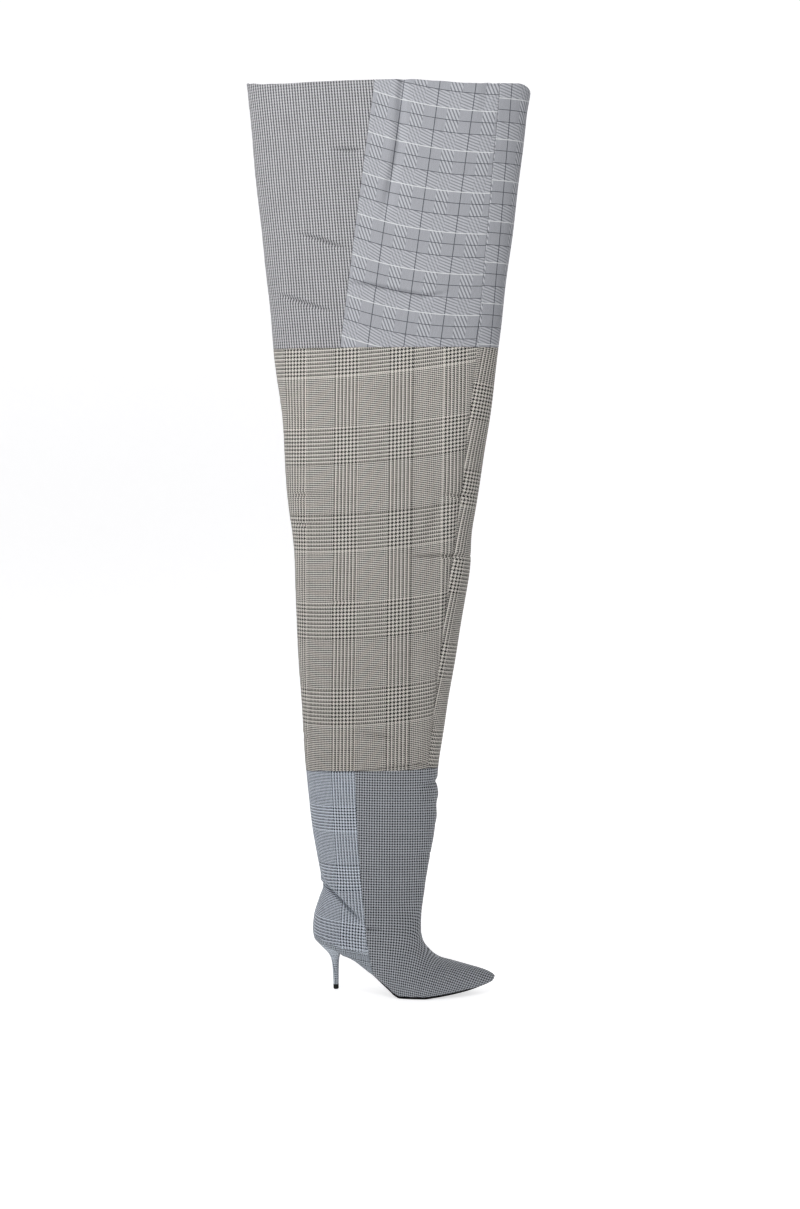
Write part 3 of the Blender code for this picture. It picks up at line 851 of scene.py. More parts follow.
def finish_cloth(
    bench: NodeBench, shader: bpy.types.Node, colour: Socket, height: Socket, nap: Socket
) -> None:
    """Wires a weave to a matt, slightly hairy wool shader.

    Args:
        bench: The material's bench.
        shader: Its shader.
        colour: The weave's colour.
        height: The weave's height.
        nap: The weave's roughness.
    """
    bench.feed(shader.inputs["Base Color"], colour)
    bench.feed(shader.inputs["Roughness"], nap)
    shader.inputs["Specular IOR Level"].default_value = 0.2
    shader.inputs["Sheen Weight"].default_value = 0.12
    shader.inputs["Sheen Roughness"].default_value = 0.45
    bump = bench.add("ShaderNodeBump")
    bump.inputs["Strength"].default_value = 0.35
    bump.inputs["Distance"].default_value = 0.00018
    bench.feed(bump.inputs["Height"], height)
    bench.feed(shader.inputs["Normal"], bump.outputs[0])


@dataclass(frozen=True)
class Suiting:
    """A wool suiting of two yarn colours, checked by broad and fine stripes. Sizes are in millimetres."""

    name: str
    light: Colour
    dark: Colour
    yarn: float
    broad: float = 4.0
    fine: float = 2.0
    face: float = 2.0
    warp_repeat: float = 1.0
    warp_band: float = 2.0
    weft_repeat: float = 1.0
    weft_band: float = 2.0
    slub: float = 0.22

    def weave(self, bench: NodeBench, cut: Socket) -> bpy.types.Node:
        """The weave group with this cloth's values."""
        return bench.group(
            ShaderGroups.weave(),
            cut=cut,
            yarn=self.yarn * MM,
            broad=self.broad,
            fine=self.fine,
            face=self.face,
            warp_repeat=self.warp_repeat * MM,
            warp_band=self.warp_band * MM,
            weft_repeat=self.weft_repeat * MM,
            weft_band=self.weft_band * MM,
            slub=self.slub,
            light=self.light,
            dark=self.dark,
        )

    def material(self) -> bpy.types.Material:
        """The cloth as a material, made once."""
        if self.name in bpy.data.materials:
            return bpy.data.materials[self.name]
        bench, shader = new_material(self.name)
        woven = self.weave(bench, cut_vector(bench)).outputs
        finish_cloth(bench, shader, woven["Color"], woven["Height"], woven["Nap"])
        return bpy.data.materials[self.name]


@dataclass(frozen=True)
class PiecedSuiting:
    """Two suitings on one panel, the second one where the panel's arch value is above zero."""

    name: str
    main: Suiting
    arch: Suiting

    def material(self) -> bpy.types.Material:
        """The pieced cloth as a material, made once."""
        if self.name in bpy.data.materials:
            return bpy.data.materials[self.name]
        bench, shader = new_material(self.name)
        cut = cut_vector(bench)
        main = self.main.weave(bench, cut).outputs
        arch = self.arch.weave(bench, cut).outputs
        mark = bench.add("ShaderNodeAttribute", attribute_name="arch")
        is_arch = bench.math("GREATER_THAN", mark.outputs["Fac"], 0.0)
        colour = bench.blend(is_arch, main["Color"], arch["Color"])
        height = bench.pick(is_arch, main["Height"], arch["Height"])
        nap = bench.pick(is_arch, main["Nap"], arch["Nap"])
        finish_cloth(bench, shader, colour, height, nap)
        return bpy.data.materials[self.name]


@dataclass(frozen=True)
class WindowpaneSuiting:
    """A pale suiting with a windowpane check. Sizes are in millimetres."""

    name: str
    light: Colour
    dark: Colour
    dark_line: Colour
    white_line: Colour
    yarn: float = 0.43
    warp_repeat: float = 46.8
    weft_repeat: float = 53.5
    slub: float = 0.1

    def material(self) -> bpy.types.Material:
        """The cloth as a material, made once."""
        if self.name in bpy.data.materials:
            return bpy.data.materials[self.name]
        bench, shader = new_material(self.name)
        woven = bench.group(
            ShaderGroups.panes(),
            cut=cut_vector(bench),
            yarn=self.yarn * MM,
            warp_repeat=self.warp_repeat * MM,
            weft_repeat=self.weft_repeat * MM,
            slub=self.slub,
            light=self.light,
            dark=self.dark,
            dark_line=self.dark_line,
            white_line=self.white_line,
        ).outputs
        finish_cloth(bench, shader, woven["Color"], woven["Height"], woven["Nap"])
        return bpy.data.materials[self.name]


@dataclass(frozen=True)
class Hide:
    """A leather or rubber with a grain. Sizes are in millimetres."""

    name: str
    base: Colour
    worn: Colour
    size: float
    gloss: float
    relief: float = 0.12

    def material(self) -> bpy.types.Material:
        """The hide as a material, made once."""
        if self.name in bpy.data.materials:
            return bpy.data.materials[self.name]
        bench, shader = new_material(self.name)
        place = bench.add("ShaderNodeTexCoord").outputs["Object"]
        grain = bench.group(
            ShaderGroups.grain(),
            place=place,
            size=self.size * MM,
            base=self.base,
            worn=self.worn,
            gloss=self.gloss,
        ).outputs
        bench.feed(shader.inputs["Base Color"], grain["Color"])
        bench.feed(shader.inputs["Roughness"], grain["Roughness"])
        shader.inputs["Specular IOR Level"].default_value = 0.1
        bump = bench.add("ShaderNodeBump", invert=True)
        bump.inputs["Strength"].default_value = 0.5
        bump.inputs["Distance"].default_value = self.relief * MM
        bench.feed(bump.inputs["Height"], grain["Height"])
        bench.feed(shader.inputs["Normal"], bump.outputs[0])
        return bpy.data.materials[self.name]


HEEL_CHECK = Suiting(
    "blue grey fine check", (0.60, 0.652, 0.718, 1.0), (0.049, 0.057, 0.069, 1.0), yarn=0.34,
    warp_repeat=14.0, warp_band=7.0, weft_repeat=14.0, weft_band=7.0,
)
# The heel's fine check carried on under the arch, its yarn colours darkened as painted shade where the arch
# turns under, away from the light.
SHADED_ARCH_CHECK = Suiting(
    "dark fine check", (0.445, 0.483, 0.531, 1.0), (0.034, 0.040, 0.048, 1.0), yarn=0.34,
    warp_repeat=14.0, warp_band=7.0, weft_repeat=14.0, weft_band=7.0,
)
GREY_PICK = Suiting(
    "light grey pick", (0.430, 0.430, 0.445, 1.0), (0.062, 0.062, 0.067, 1.0), yarn=0.48, face=3.0,
)
GLEN_CREAM = Suiting(
    "cream and black glen check", (0.536, 0.512, 0.472, 1.0), (0.020, 0.019, 0.018, 1.0), yarn=0.61,
    warp_repeat=72.0, warp_band=32.7, weft_repeat=114.5, weft_band=49.0,
)
GLEN_BLUE = Suiting(
    "blue grey glen check", (0.545, 0.588, 0.655, 1.0), (0.019, 0.023, 0.032, 1.0), yarn=0.50,
    warp_repeat=72.0, warp_band=33.0, weft_repeat=78.2, weft_band=34.5,
)
HOUNDSTOOTH = Suiting(
    "dark grey houndstooth", (0.393, 0.411, 0.443, 1.0), (0.018, 0.020, 0.023, 1.0), yarn=0.42,
)
# Below the arch line the quarter takes the darker copy of the heel's fine check: a real piece of that cloth,
# darkened with painted shade.
QUARTER_CLOTH = PiecedSuiting("blue grey quarter", GLEN_BLUE, SHADED_ARCH_CHECK)
WINDOWPANE = WindowpaneSuiting(
    "light grey windowpane", (0.416, 0.423, 0.451, 1.0), (0.132, 0.139, 0.154, 1.0),
    (0.034, 0.037, 0.048, 1.0), (0.60, 0.61, 0.622, 1.0),
)
LINING = Suiting("charcoal lining", (0.075, 0.075, 0.08, 1.0), (0.045, 0.045, 0.05, 1.0), yarn=0.2)
SOLE_LEATHER = Hide("black sole leather", (0.010, 0.010, 0.011, 1.0), (0.024, 0.023, 0.023, 1.0), 0.7, 0.22)
SOCK_LEATHER = Hide("dark sock leather", (0.050, 0.047, 0.044, 1.0), (0.080, 0.074, 0.068, 1.0), 0.9, 0.42)
LIFT_RUBBER = Hide("black lift rubber", (0.009, 0.009, 0.009, 1.0), (0.020, 0.020, 0.020, 1.0), 0.4, 0.48)

Finish = Suiting | PiecedSuiting | WindowpaneSuiting | Hide


class GridRow(NamedTuple):
    """One row of a panel: its points, their places in the cloth and their distances from both sides."""

    points: list[Vector]
    cuts: list[tuple[float, float]]
    from_begin: list[float]
    from_end: list[float]


def lay_grid(
    form: bmesh.types.BMesh, points: list[list[Vector]], cuts: list[list[tuple[float, float]]]
) -> list[Any]:
    """Lays a grid over rows of points and gives its corners their places in the cloth.

    Args:
        form: The bmesh that gets the grid.
        points: Rows of points in metres.
        cuts: Rows of places in the cloth, as many as the points.

    Returns:
        The grid's vertices, row by row.
    """
    columns, rows = len(points[0]), len(points)
    cut_map = form.loops.layers.uv.get("cut") or form.loops.layers.uv.new("cut")
    made = bmesh.ops.create_grid(form, x_segments=columns - 1, y_segments=rows - 1, size=1.0)
    ordered = sorted(made["verts"], key=lambda vert: (round(vert.co.y, 5), round(vert.co.x, 5)))
    order = {vert: index for index, vert in enumerate(ordered)}
    for vert, index in order.items():
        vert.co = points[index // columns][index % columns]
    for face in {face for vert in ordered for face in vert.link_faces}:
        for loop in face.loops:
            index = order[loop.vert]
            loop[cut_map].uv = cuts[index // columns][index % columns]
    return ordered


def closed_form(rings: list[list[Vector]], cuts: list[list[tuple[float, float]]]) -> bmesh.types.BMesh:
    """A closed form through rings of points.

    Args:
        rings: The rings in metres, the last point of each on its first.
        cuts: The points' places in the cloth.

    Returns:
        The form, welded along its length and filled at its two ends.
    """
    form = bmesh.new()
    lay_grid(form, rings, cuts)
    bmesh.ops.remove_doubles(form, verts=form.verts, dist=WELD_DISTANCE)
    bmesh.ops.holes_fill(form, edges=[edge for edge in form.edges if edge.is_boundary], sides=0)
    bmesh.ops.recalc_face_normals(form, faces=form.faces)
    return form


def add_piece(
    form: bmesh.types.BMesh,
    name: str,
    finishes: Sequence[Finish],
    nodes: Sequence[str],
    wall: float = 0.0,
) -> bpy.types.Object:
    """Makes a finished piece of the boot from a form.

    Args:
        form: The shape, which is used up.
        name: The piece's name.
        finishes: The finish of its face, and of its lining where it has a wall.
        nodes: The CAD nodes that it stands for.
        wall: The thickness that a sheet gets on its inner side, in millimetres.

    Returns:
        The piece.
    """
    mesh = bpy.data.meshes.new(name)
    form.to_mesh(mesh)
    form.free()
    mesh.shade_smooth()
    for finish in finishes:
        mesh.materials.append(finish.material())
    piece = bpy.data.objects.new(name, mesh)
    bpy.context.scene.collection.objects.link(piece)
    if wall > 0.0:
        thick = piece.modifiers.new("wall", "SOLIDIFY")
        thick.thickness = wall * MM
        thick.offset = -1.0
        thick.material_offset = len(finishes) - 1
    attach(piece, "root")
    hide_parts(*nodes)
    LOG.info("%s: %d faces", name, len(mesh.polygons))
    return piece


def rolled(distance: float, radius: float) -> float:
    """How far in the cloth has turned at a distance from its seam."""
    if distance >= radius:
        return 0.0
    return radius - math.sqrt(max(radius**2 - (radius - distance) ** 2, 0.0))


@dataclass
class CutPanel:
    """One cut panel of cloth between two seams, from a lower to a higher place of the boot's form."""

    name: str
    nodes: tuple[str, ...]
    slot: str
    finish: Finish
    lay: Lay
    bottom: float
    top: float
    begin: Callable[[Section], float]
    end: Callable[[Section], float]
    creases: tuple[Crease, ...] = ()
    cell: float = 3.0
    mirrored: bool = False
    is_collar: bool = False
    rolls_below: bool = True
    seed: float = 0.0
    seam_steps: tuple[float, ...] = (0.0, 0.15, 0.55, 1.1, 2.0)
    hem_depth: float = 22.0
    below: list[float] = field(default_factory=list)

    def grid_rows(self) -> list[GridRow]:
        """The panel's rows of points, from its lower to its upper edge."""
        climb = FORM.climb(self.bottom, self.top)
        rises = spread(climb.length, max(2, int(climb.length / self.cell)), self.seam_steps)
        self.below = rises
        sections = [FORM.section(climb.value_at(rise)) for rise in rises]
        girths = [FORM.girth(section) for section in sections]
        edges = [(self.begin(section), self.end(section)) for section in sections]
        widths = [g.distance_to(e) - g.distance_to(b) for g, (b, e) in zip(girths, edges)]
        count = max(2, int(max(widths) / self.cell))
        rows = []
        for section, girth, (begin, _), width in zip(sections, girths, edges, widths):
            start = girth.distance_to(begin)
            across = spread(max(width, 0.0), count, self.seam_steps)
            turns = [girth.value_at(start + distance) for distance in across]
            points = [FORM.outline(section, turn) for turn in turns]
            cuts = []
            for point, turn in zip(points, turns):
                sway = FORM.sway(section, turn)
                point.z += sway
                x, z = FORM.flat(section, girth, min(turn, 2.0 - turn) if self.mirrored else turn)
                cuts.append(self.cut_place(x, z + sway))
            rows.append(GridRow(points, cuts, across, [width - distance for distance in across]))
        return rows

    def cut_place(self, x: float, z: float) -> tuple[float, float]:
        """Where a point lies in the cloth, from its place on the unrolled panel."""
        return self.lay.place(x, z)

    def relief(
        self, point: Vector, sides: tuple[float, float], ends: tuple[float, float], along: float
    ) -> float:
        """How far out of the plain form the cloth stands at a point.

        Args:
            point: The point of the form, in millimetres.
            sides: Its distances from the panel's two side seams.
            ends: Its distances from the panel's lower and upper edges.
            along: How far up the panel it is.

        Returns:
            The distance in millimetres, outwards.
        """
        out = -max(rolled(sides[0], SEAM_ROLL), rolled(sides[1], SEAM_ROLL))
        if self.rolls_below:
            out = min(out, -rolled(ends[0], SEAM_ROLL))
        if not self.is_collar:
            out = min(out, -rolled(ends[1], SEAM_ROLL))
        nearest = min(sides)
        wave = math.sin(along / 2.9 + self.seed) * math.sin(along / 7.3 + 2.0 * self.seed)
        out += 0.22 * wave * math.exp(-nearest / 5.0) * between(0.0, 2.0, nearest)
        nearest = min(ends)
        wave = math.sin(point.x / 3.3 + self.seed) * math.sin(point.x / 8.9 + self.seed)
        out += 0.25 * wave * math.exp(-nearest / 6.0) * between(0.0, 2.0, nearest)
        out += sum(crease.height(point) for crease in self.creases)
        slack = SLACK * between(110.0, 240.0, point.z)
        wave = math.sin(point.x / 21.0 + point.z / 33.0) * math.sin(point.z / 47.0 - point.x / 58.0)
        return out + slack * wave

    def shape(self, form: bmesh.types.BMesh) -> list[Any]:
        """Lays the panel's grid, works its relief into it, and returns its vertices row by row."""
        rows = self.grid_rows()
        points = [[in_part(*point) for point in row.points] for row in rows]
        verts = lay_grid(form, points, [row.cuts for row in rows])
        form.normal_update()
        normals = [vert.normal.copy() for vert in verts]
        columns = len(rows[0].points)
        for index, (vert, normal) in enumerate(zip(verts, normals)):
            row, rise = rows[index // columns], self.below[index // columns]
            column = index % columns
            sides = (row.from_begin[column], row.from_end[column])
            ends = (rise, self.below[-1] - rise)
            vert.co += normal * (self.relief(row.points[column], sides, ends, rise) * MM)
        return verts

    def build(self) -> bpy.types.Object:
        """Builds the panel and dresses it."""
        form = bmesh.new()
        verts = self.shape(form)
        if self.is_collar:
            self.turn_hem(form, verts)
        bmesh.ops.remove_doubles(form, verts=form.verts, dist=WELD_DISTANCE)
        return add_piece(form, self.name, (self.finish, LINING), self.nodes, CLOTH_WALL)

    def turn_hem(self, form: bmesh.types.BMesh, verts: list[Any]) -> None:
        """Turns the cloth over the collar and down inside it, along the wall."""
        form.normal_update()
        cut_map = form.loops.layers.uv["cut"]
        columns = len(verts) // len(self.below)
        lower = max(i for i, rise in enumerate(self.below) if self.below[-1] - rise >= self.hem_depth)
        places = {}
        for column, vert in enumerate(verts[-columns:]):
            down = (verts[lower * columns + column].co - vert.co).normalized()
            places[vert] = (vert.co.copy(), -vert.normal, down, vert.link_loops[0][cut_map].uv.copy())
        ring = [edge for edge in form.edges if all(vert in places for vert in edge.verts)]
        steps = [math.radians(angle) for angle in (30.0, 60.0, 90.0, 120.0, 150.0, 180.0)]
        moves = [(HEM_RADIUS * (1.0 - math.cos(a)), -HEM_RADIUS * math.sin(a), HEM_RADIUS * a) for a in steps]
        for share in (0.1, 0.5, 1.0):
            fall = self.hem_depth * share
            moves.append((2.0 * HEM_RADIUS, fall, math.pi * HEM_RADIUS + fall))
        turned_over = 0.0
        for inward, fall, over in moves:
            made = bmesh.ops.extrude_edge_only(form, edges=ring)["geom"]
            fresh = {}
            for vert in (item for item in made if isinstance(item, bmesh.types.BMVert)):
                others = (edge.other_vert(vert) for edge in vert.link_edges)
                fresh[vert] = places[next(other for other in others if other in places)]
            for vert, (place, inside, down, _) in fresh.items():
                vert.co = place + (inside * inward + down * fall) * MM
            for face in (item for item in made if isinstance(item, bmesh.types.BMFace)):
                for loop in face.loops:
                    cut = (fresh.get(loop.vert) or places[loop.vert])[3]
                    rise = over * MM if loop.vert in fresh else turned_over
                    loop[cut_map].uv = cut + Vector((0.0, rise))
            turned_over = over * MM
            places = fresh
            edges = (item for item in made if isinstance(item, bmesh.types.BMEdge))
            ring = [edge for edge in edges if all(vert in fresh for vert in edge.verts)]


@dataclass
class Vamp(CutPanel):
    """The front of the foot and lower leg, its cloth pulled forward and down over the last."""

    pull_begins: float = 85.0
    pull_reach: float = 115.0
    pull: float = 0.45

    def cut_place(self, x: float, z: float) -> tuple[float, float]:
        """The threads turn with the foot, more and more towards the toe."""
        share = max(0.0, min(1.0, (x - self.pull_begins) / self.pull_reach))
        beyond = max(0.0, x - self.pull_begins - self.pull_reach)
        drop = self.pull * (self.pull_reach * (share**3 - share**4 / 2) + beyond)
        low = 1.0 - between(60.0, 130.0, z)
        lean = self.pull * share * share * (3.0 - 2.0 * share) * (z - 60.0)
        return self.lay.place(x - lean * low, z + drop * low)


@dataclass
class Quarter(CutPanel):
    """The back of the foot and lower leg: two mirrored halves joined at the back, pieced along the arch."""

    arch_line: tuple[tuple[float, float], ...] = (
        (-4.0, 78.5), (10.0, 72.6), (44.6, 61.6), (76.7, 56.6), (96.0, 53.0),
    )
    fold_pivot: tuple[float, float] = (72.0, 96.0)
    fold_turn: float = 8.5

    def cut_place(self, x: float, z: float) -> tuple[float, float]:
        """The cloth runs along the front seam, and is turned below the ankle's fold."""
        pivot_x, pivot_z = self.fold_pivot
        under = between(2.0, -2.0, z - (pivot_z + (pivot_x - x) * 0.95))
        angle = math.radians(self.fold_turn) * under
        run, rise = x - pivot_x, z - pivot_z
        x = pivot_x + run * math.cos(angle) - rise * math.sin(angle)
        z = pivot_z + run * math.sin(angle) + rise * math.cos(angle)
        return self.lay.place(x - QUARTER_SEAM.ahead_at(z), z)

    def arch_value(self, point: Vector) -> float:
        """How far a point lies below the line where the arch's cloth begins, in millimetres."""
        line = self.arch_line
        for (ax, az), (bx, bz) in zip(line, line[1:]):
            if point.x < bx:
                break
        return az + (bz - az) * (point.x - ax) / (bx - ax) - point.z

    def build(self) -> bpy.types.Object:
        """Builds both halves, joins them at the back and dresses them."""
        form = bmesh.new()
        arch = form.verts.layers.float.new("arch")
        outer_begin, outer_end = self.begin, self.end
        self.shape(form)
        self.begin = lambda section: 2.0 - outer_end(section)
        self.end = lambda section: 2.0 - outer_begin(section)
        self.shape(form)
        for vert in form.verts:
            vert[arch] = self.arch_value(Vector((vert.co.x / MM + HEEL_TO_ORIGIN, 0.0, vert.co.z / MM)))
        bmesh.ops.remove_doubles(form, verts=form.verts, dist=WELD_DISTANCE)
        return add_piece(form, self.name, (self.finish, LINING), self.nodes, CLOTH_WALL)


def back_line(section: Section) -> float:
    """The turn of the back seam or the sole's edge on the outer side."""
    return 0.0


def back_line_again(section: Section) -> float:
    """The turn of the back seam or the sole's edge on the inner side."""
    return 2.0


def quarter_start() -> float:
    """The place where the quarter's seam comes down to the sole."""
    low, high = 11.0, 15.0
    for _ in range(30):
        middle = (low + high) / 2
        if QUARTER_SEAM.turn(FORM.section(middle)) > 0.0:
            high = middle
        else:
            low = middle
    return high


class Shaft:
    """All the cut panels of the boot, from the toe to the collar."""

    def panels(self) -> list[CutPanel]:
        """The panels in the order that a maker joins them."""
        return [
            Vamp(
                "vamp", ("upper",), "houndstooth_cloth", HOUNDSTOOTH, Lay(64.0, 292.0, -1.0), 0.0, LOWER_SEAM,
                QUARTER_SEAM.turn, lambda section: 2.0 - QUARTER_SEAM.turn(section),
                LOWER_CREASES, cell=2.0, mirrored=True, rolls_below=False, seed=0.4,
            ),
            Quarter(
                "quarter", ("upper",), "houndstooth_cloth", QUARTER_CLOTH, Lay(-33.0, 137.0, 0.0, 3.5),
                quarter_start(), LOWER_SEAM, back_line, QUARTER_SEAM.turn,
                LOWER_CREASES, cell=1.25, mirrored=True, rolls_below=False, seed=1.7,
            ),
            CutPanel(
                "middle_outer_panel", ("shaft_middle_outer",), "glen_cloth", GLEN_CREAM,
                Lay(33.2, 697.5, -0.7, 4.3, 2.5, 16.0, 90.0), LOWER_SEAM, UPPER_SEAM, back_line,
                MIDDLE_FRONT_SEAM.turn, MIDDLE_CREASES, cell=2.0, seed=2.9,
            ),
            CutPanel(
                "middle_inner_panel", ("shaft_middle_inner",), "glen_cloth", GLEN_CREAM,
                Lay(212.8, 757.7, -11.2, 3.0), LOWER_SEAM, UPPER_SEAM, MIDDLE_FRONT_SEAM.turn,
                back_line_again, MIDDLE_CREASES, seed=4.1,
            ),
            CutPanel(
                "top_rear_panel", ("shaft_top_rear",), "grey_cloth", GREY_PICK, Lay(-10.0, 1000.0, 5.4, -4.4),
                UPPER_SEAM, COLLAR, back_line, TOP_SIDE_SEAM.turn,
                TOP_CREASES, cell=1.7, is_collar=True, seed=5.3,
            ),
            CutPanel(
                "top_front_panel", ("shaft_top_front",), "windowpane_cloth", WINDOWPANE,
                Lay(123.0, 1172.8, -7.8, -2.6, 7.0, 40.0, 80.0), UPPER_SEAM, COLLAR,
                TOP_SIDE_SEAM.turn, TOP_FRONT_SEAM.turn, TOP_CREASES, cell=1.7, is_collar=True, seed=6.1,
            ),
            CutPanel(
                "top_inner_panel", ("shaft_top_inner",), "windowpane_cloth", WINDOWPANE,
                Lay(267.0, 1174.0, -4.4, 2.0), UPPER_SEAM, COLLAR, TOP_FRONT_SEAM.turn, back_line_again,
                TOP_CREASES, is_collar=True, seed=7.7,
            ),
        ]

    def build(self) -> None:
        """Builds every panel."""
        for panel in self.panels():
            panel.build()


@dataclass
class Boards:
    """The thin sole under the foot and the sock inside it."""

    seam_gap: float = 0.3
    breast_gap: float = 0.4
    sock_inset: float = 1.8
    sock_thickness: float = 2.2
    edge_round: float = 0.9
    station: float = 2.0
    waist_tuck: float = 2.6
    toe_tuck: float = 2.0

    @staticmethod
    def outline_at(place: float, inset: float) -> tuple[float, float]:
        """How far forward and how wide the foot's bottom is at a place, moved in square to itself."""
        last = len(FOOT) - 1.0
        ahead, behind = smooth_row(FOOT, max(place - 0.02, 0.0)), smooth_row(FOOT, min(place + 0.02, last))
        row = smooth_row(FOOT, place)
        forward = 0.0 if place in (0.0, last) else ahead.base_x - behind.base_x
        wider = (ahead.base_width - behind.base_width) * BALL_WIDTH / 2
        length = math.hypot(forward, wider)
        half = row.base_width * BALL_WIDTH / 2 - inset * forward / length
        return row.base_x + inset * wider / length, max(half, 0.0)

    @staticmethod
    def place_where(is_ahead: Callable[[float], bool]) -> float:
        """The place of the foot at which a test, true towards the toe, turns false."""
        front, back = 0.0, len(FOOT) - 1.0
        for _ in range(30):
            middle = (front + back) / 2
            if is_ahead(middle):
                front = middle
            else:
                back = middle
        return (front + back) / 2

    def half_at(self, x: float, inset: float) -> float:
        """The half width of the bottom's outline, moved in, where it is this far forward."""
        return self.outline_at(self.place_where(lambda place: self.outline_at(place, inset)[0] > x), inset)[1]

    def row_at(self, x: float) -> FootRow:
        """The foot's row whose bottom edge is this far forward."""
        return smooth_row(FOOT, self.place_where(lambda place: smooth_row(FOOT, place).base_x > x))

    def ring(self, x: float, half: float, rise: float, thickness: float) -> list[Vector]:
        """A ring across a board, rounded at its lower and upper edges.

        Args:
            x: How far forward the ring is.
            half: Its half width.
            rise: Its upper face above the foot's bottom edge.
            thickness: Its thickness, or 0 for the sole's own.

        Returns:
            The ring's points, the last on the first.
        """
        row = self.row_at(x)
        top = row.base_z + rise
        depth = thickness or row.sole_thickness
        bend = min(self.edge_round, half, depth / 2)
        corners = [(half - bend, depth - bend, 0.0), (half - bend, bend, 90.0), (bend - half, bend, 180.0)]
        corners.append((bend - half, depth - bend, 270.0))
        outline = []
        for across, up, start in corners:
            for step in range(5):
                angle = math.radians(start + 22.5 * step - 90.0)
                outline.append((across + bend * math.cos(angle), up + bend * math.sin(angle)))
        outline.append(outline[0])
        return [in_part(x, row.centre_y + across, top - depth + up) for across, up in outline]

    def board(
        self, front: float, back: float, inset: Callable[[float], float], rise: float, thickness: float
    ) -> bmesh.types.BMesh:
        """A closed board between two ends.

        Args:
            front: How far forward its front is.
            back: How far forward its back is.
            inset: How far its edge lies inside the foot's bottom edge, by how far forward it is.
            rise: Its upper face above the foot's bottom edge.
            thickness: Its thickness, or 0 for the sole's own.

        Returns:
            The board's form.
        """
        near = (0.0, 0.25, 0.7, 1.4)
        across = spread(front - back, int((front - back) / self.station), near)
        rings = []
        for distance in across:
            x = front - distance
            half = self.half_at(x, inset(x)) if distance > 0.0 else 0.05
            rings.append(self.ring(x, max(half, 0.05), rise, thickness))
        return closed_form(rings, [[(point.x, point.y) for point in ring] for ring in rings])

    def sole_inset(self, x: float) -> float:
        """How far the sole's edge lies inside the foot's bottom edge, tucked in at the waist and the toe."""
        tuck = self.waist_tuck * between(102.0, 80.0, x) + self.toe_tuck * between(204.0, 226.0, x)
        return tuck - self.row_at(x).sole_edge

    def build(self) -> None:
        """Builds the sole and the sock."""
        front = self.outline_at(0.0, self.toe_tuck - FOOT[0].sole_edge)[0]
        back = FOOT[BREAST_ROW].base_x + self.breast_gap
        sole = self.board(front, back, self.sole_inset, -self.seam_gap, 0.0)
        add_piece(sole, "sole", (SOLE_LEATHER,), ("outsole",))
        front = self.outline_at(0.0, self.sock_inset)[0]
        back = self.outline_at(len(FOOT) - 1.0, self.sock_inset)[0]
        sock = self.board(front, back, lambda x: self.sock_inset, self.sock_thickness, self.sock_thickness)
        add_piece(sock, "sock", (SOCK_LEATHER,), ("insole",))


@dataclass
class CoveredHeel:
    """The slim heel in its cloth cover, and the rubber lift that it stands on."""

    columns: int = 64
    steps_per_row: int = 9

    def point(self, row: HeelRow, angle: float) -> Vector:
        """A point of a ring round the heel, rounded at the back and squarer at the breast."""
        length = row.front_x - row.back_x
        middle = row.back_x + HEEL_MIDDLE * length
        along, across = math.cos(angle), math.sin(angle)
        if along <= 0.0:
            x = middle + along * (middle - row.back_x)
            y = across * row.width / 2
        else:
            power = 2.0 / row.front_power
            x = middle + along**power * (row.front_x - middle)
            y = math.copysign(abs(across) ** power, across) * row.width / 2
        share = (x - row.back_x) / length
        return in_part(x, y, row.back_z + (row.front_z - row.back_z) * share)

    def turned(self, rows: Sequence[HeelRow], steps: int) -> bmesh.types.BMesh:
        """A closed form through a table of rings, its cloth joined along the breast."""
        angles = [2.0 * math.pi * i / self.columns for i in range(self.columns + 1)]
        count = (len(rows) - 1) * steps
        heights = [smooth_row(rows, i / steps) for i in range(count, -1, -1)]
        rings = [[self.point(row, angle) for angle in angles] for row in heights]
        cuts = []
        for ring in rings:
            lengths = [0.0]
            for before, after in zip(ring, ring[1:]):
                lengths.append(lengths[-1] + (after - before).length)
            cuts.append([(length - lengths[-1] / 2, point.z) for length, point in zip(lengths, ring)])
        return closed_form(rings, cuts)

    def build(self) -> None:
        """Builds the heel and its lift."""
        add_piece(self.turned(HEEL, self.steps_per_row), "heel_cover", (HEEL_CHECK,), ("heel",))
        add_piece(self.turned(TOP_LIFT, 3), "heel_lift", (LIFT_RUBBER,), ("top_lift",))


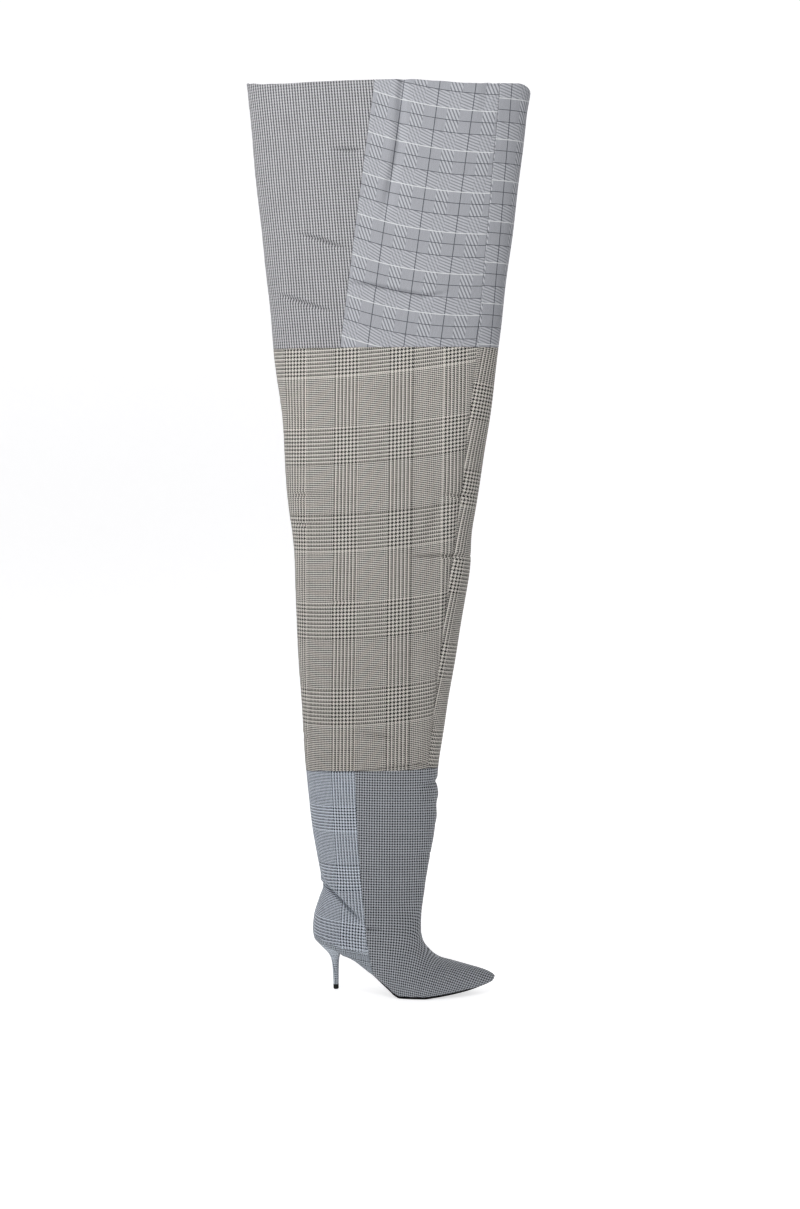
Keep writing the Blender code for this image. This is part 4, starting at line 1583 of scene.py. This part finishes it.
@dataclass
class Studio:
    """The camera, the soft lights and the pale floor with its back wall."""

    distance: float = 2.5
    height: float = 0.75
    yaw: float = 7.0
    lens: float = 56.14
    shift_x: float = 0.0102
    shift_y: float = -0.1489
    daylight: float = 0.34
    floor_half: float = 14.0
    wall_distance: float = 3.5
    wall_height: float = 6.0
    bend_radius: float = 1.4
    paper_glow: float = 1.09

    def add_camera(self) -> None:
        """The camera at the photograph's angle."""
        camera = bpy.data.cameras.new("camera")
        camera.lens = self.lens
        camera.sensor_width = 36.0
        camera.shift_x = self.shift_x
        camera.shift_y = self.shift_y
        holder = bpy.data.objects.new("camera", camera)
        angle = math.radians(self.yaw)
        holder.location = (self.distance * math.sin(angle), -self.distance * math.cos(angle), self.height)
        holder.rotation_euler = (math.radians(90.0), 0.0, angle)
        bpy.context.scene.collection.objects.link(holder)
        bpy.context.scene.camera = holder

    def add_light(
        self,
        name: str,
        place: tuple[float, float, float],
        aim: float,
        size: float,
        power: float,
        spread: float,
    ) -> None:
        """A soft square light that faces the boot.

        Args:
            name: The light's name.
            place: Where it hangs, in metres.
            aim: The height on the boot that it faces.
            size: How wide it is.
            power: Its power in watts.
            spread: How wide its beam opens, in degrees.
        """
        light = bpy.data.lights.new(name, "AREA")
        light.size = size
        light.energy = power
        light.spread = math.radians(spread)
        holder = bpy.data.objects.new(name, light)
        holder.location = place
        holder.rotation_euler = (Vector((0.0, 0.0, aim)) - Vector(place)).to_track_quat("-Z", "Y").to_euler()
        bpy.context.scene.collection.objects.link(holder)

    def add_lights(self) -> None:
        """Weak daylight all round, a soft key from high on the left and a weaker one from above."""
        world = bpy.data.worlds.new("daylight")
        world.use_nodes = True
        background = world.node_tree.nodes["Background"]
        background.inputs["Color"].default_value = (1.0, 1.0, 1.0, 1.0)
        background.inputs["Strength"].default_value = self.daylight
        bpy.context.scene.world = world
        bpy.context.scene.view_settings.view_transform = "Standard"
        self.add_light("key", (-1.3, -2.0, 2.0), 1.15, 1.2, 5.55, 50.0)
        self.add_light("fill", (-0.1, -1.1, 2.7), 0.6, 0.9, 2.8, 70.0)

    def add_floor(self) -> None:
        """A pale floor that sweeps up into a back wall."""
        form = bmesh.new()
        bmesh.ops.create_grid(form, x_segments=1, y_segments=1, size=self.floor_half)
        bmesh.ops.translate(form, verts=form.verts, vec=(0.0, self.wall_distance - self.floor_half, 0.0))
        far = [edge for edge in form.edges if all(vert.co.y > 0.0 for vert in edge.verts)]
        made = bmesh.ops.extrude_edge_only(form, edges=far)["geom"]
        fresh = [item for item in made if isinstance(item, bmesh.types.BMVert)]
        bmesh.ops.translate(form, verts=fresh, vec=(0.0, 0.0, self.wall_height))
        bend = [edge for edge in form.edges if all(v.co.y > 0.0 and abs(v.co.z) < 0.01 for v in edge.verts)]
        bmesh.ops.bevel(
            form, geom=bend, offset=self.bend_radius, offset_type="OFFSET", affect="EDGES",
            segments=16, profile=0.5, material=-1,
        )
        mesh = bpy.data.meshes.new("floor")
        form.to_mesh(mesh)
        form.free()
        mesh.shade_smooth()
        bench, shader = new_material("pale paper")
        paper = bench.add("ShaderNodeTexNoise")
        bench.feed(paper.inputs["Vector"], bench.add("ShaderNodeTexCoord").outputs["Object"])
        paper.inputs["Scale"].default_value = 60.0
        tone = bench.blend(paper.outputs[0], (0.60, 0.60, 0.605, 1.0), (0.62, 0.62, 0.625, 1.0))
        bench.feed(shader.inputs["Base Color"], tone)
        bench.feed(shader.inputs["Emission Color"], tone)
        shader.inputs["Emission Strength"].default_value = self.paper_glow
        shader.inputs["Roughness"].default_value = 0.5
        shader.inputs["Specular IOR Level"].default_value = 0.4
        mesh.materials.append(bpy.data.materials["pale paper"])
        floor = bpy.data.objects.new("floor", mesh)
        bpy.context.scene.collection.objects.link(floor)

    def build(self) -> None:
        """Sets up the whole studio."""
        self.add_camera()
        self.add_lights()
        self.add_floor()


def write_size() -> None:
    """Brings the scene's placements up to date."""
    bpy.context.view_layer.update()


def main() -> None:
    """Builds the studio and every piece of the boot, in the order that a maker joins them."""
    logging.basicConfig(level=logging.INFO, format="%(message)s")
    Studio().build()
    Shaft().build()
    Boards().build()
    CoveredHeel().build()
    write_size()


if __name__ == "__main__":
    main()
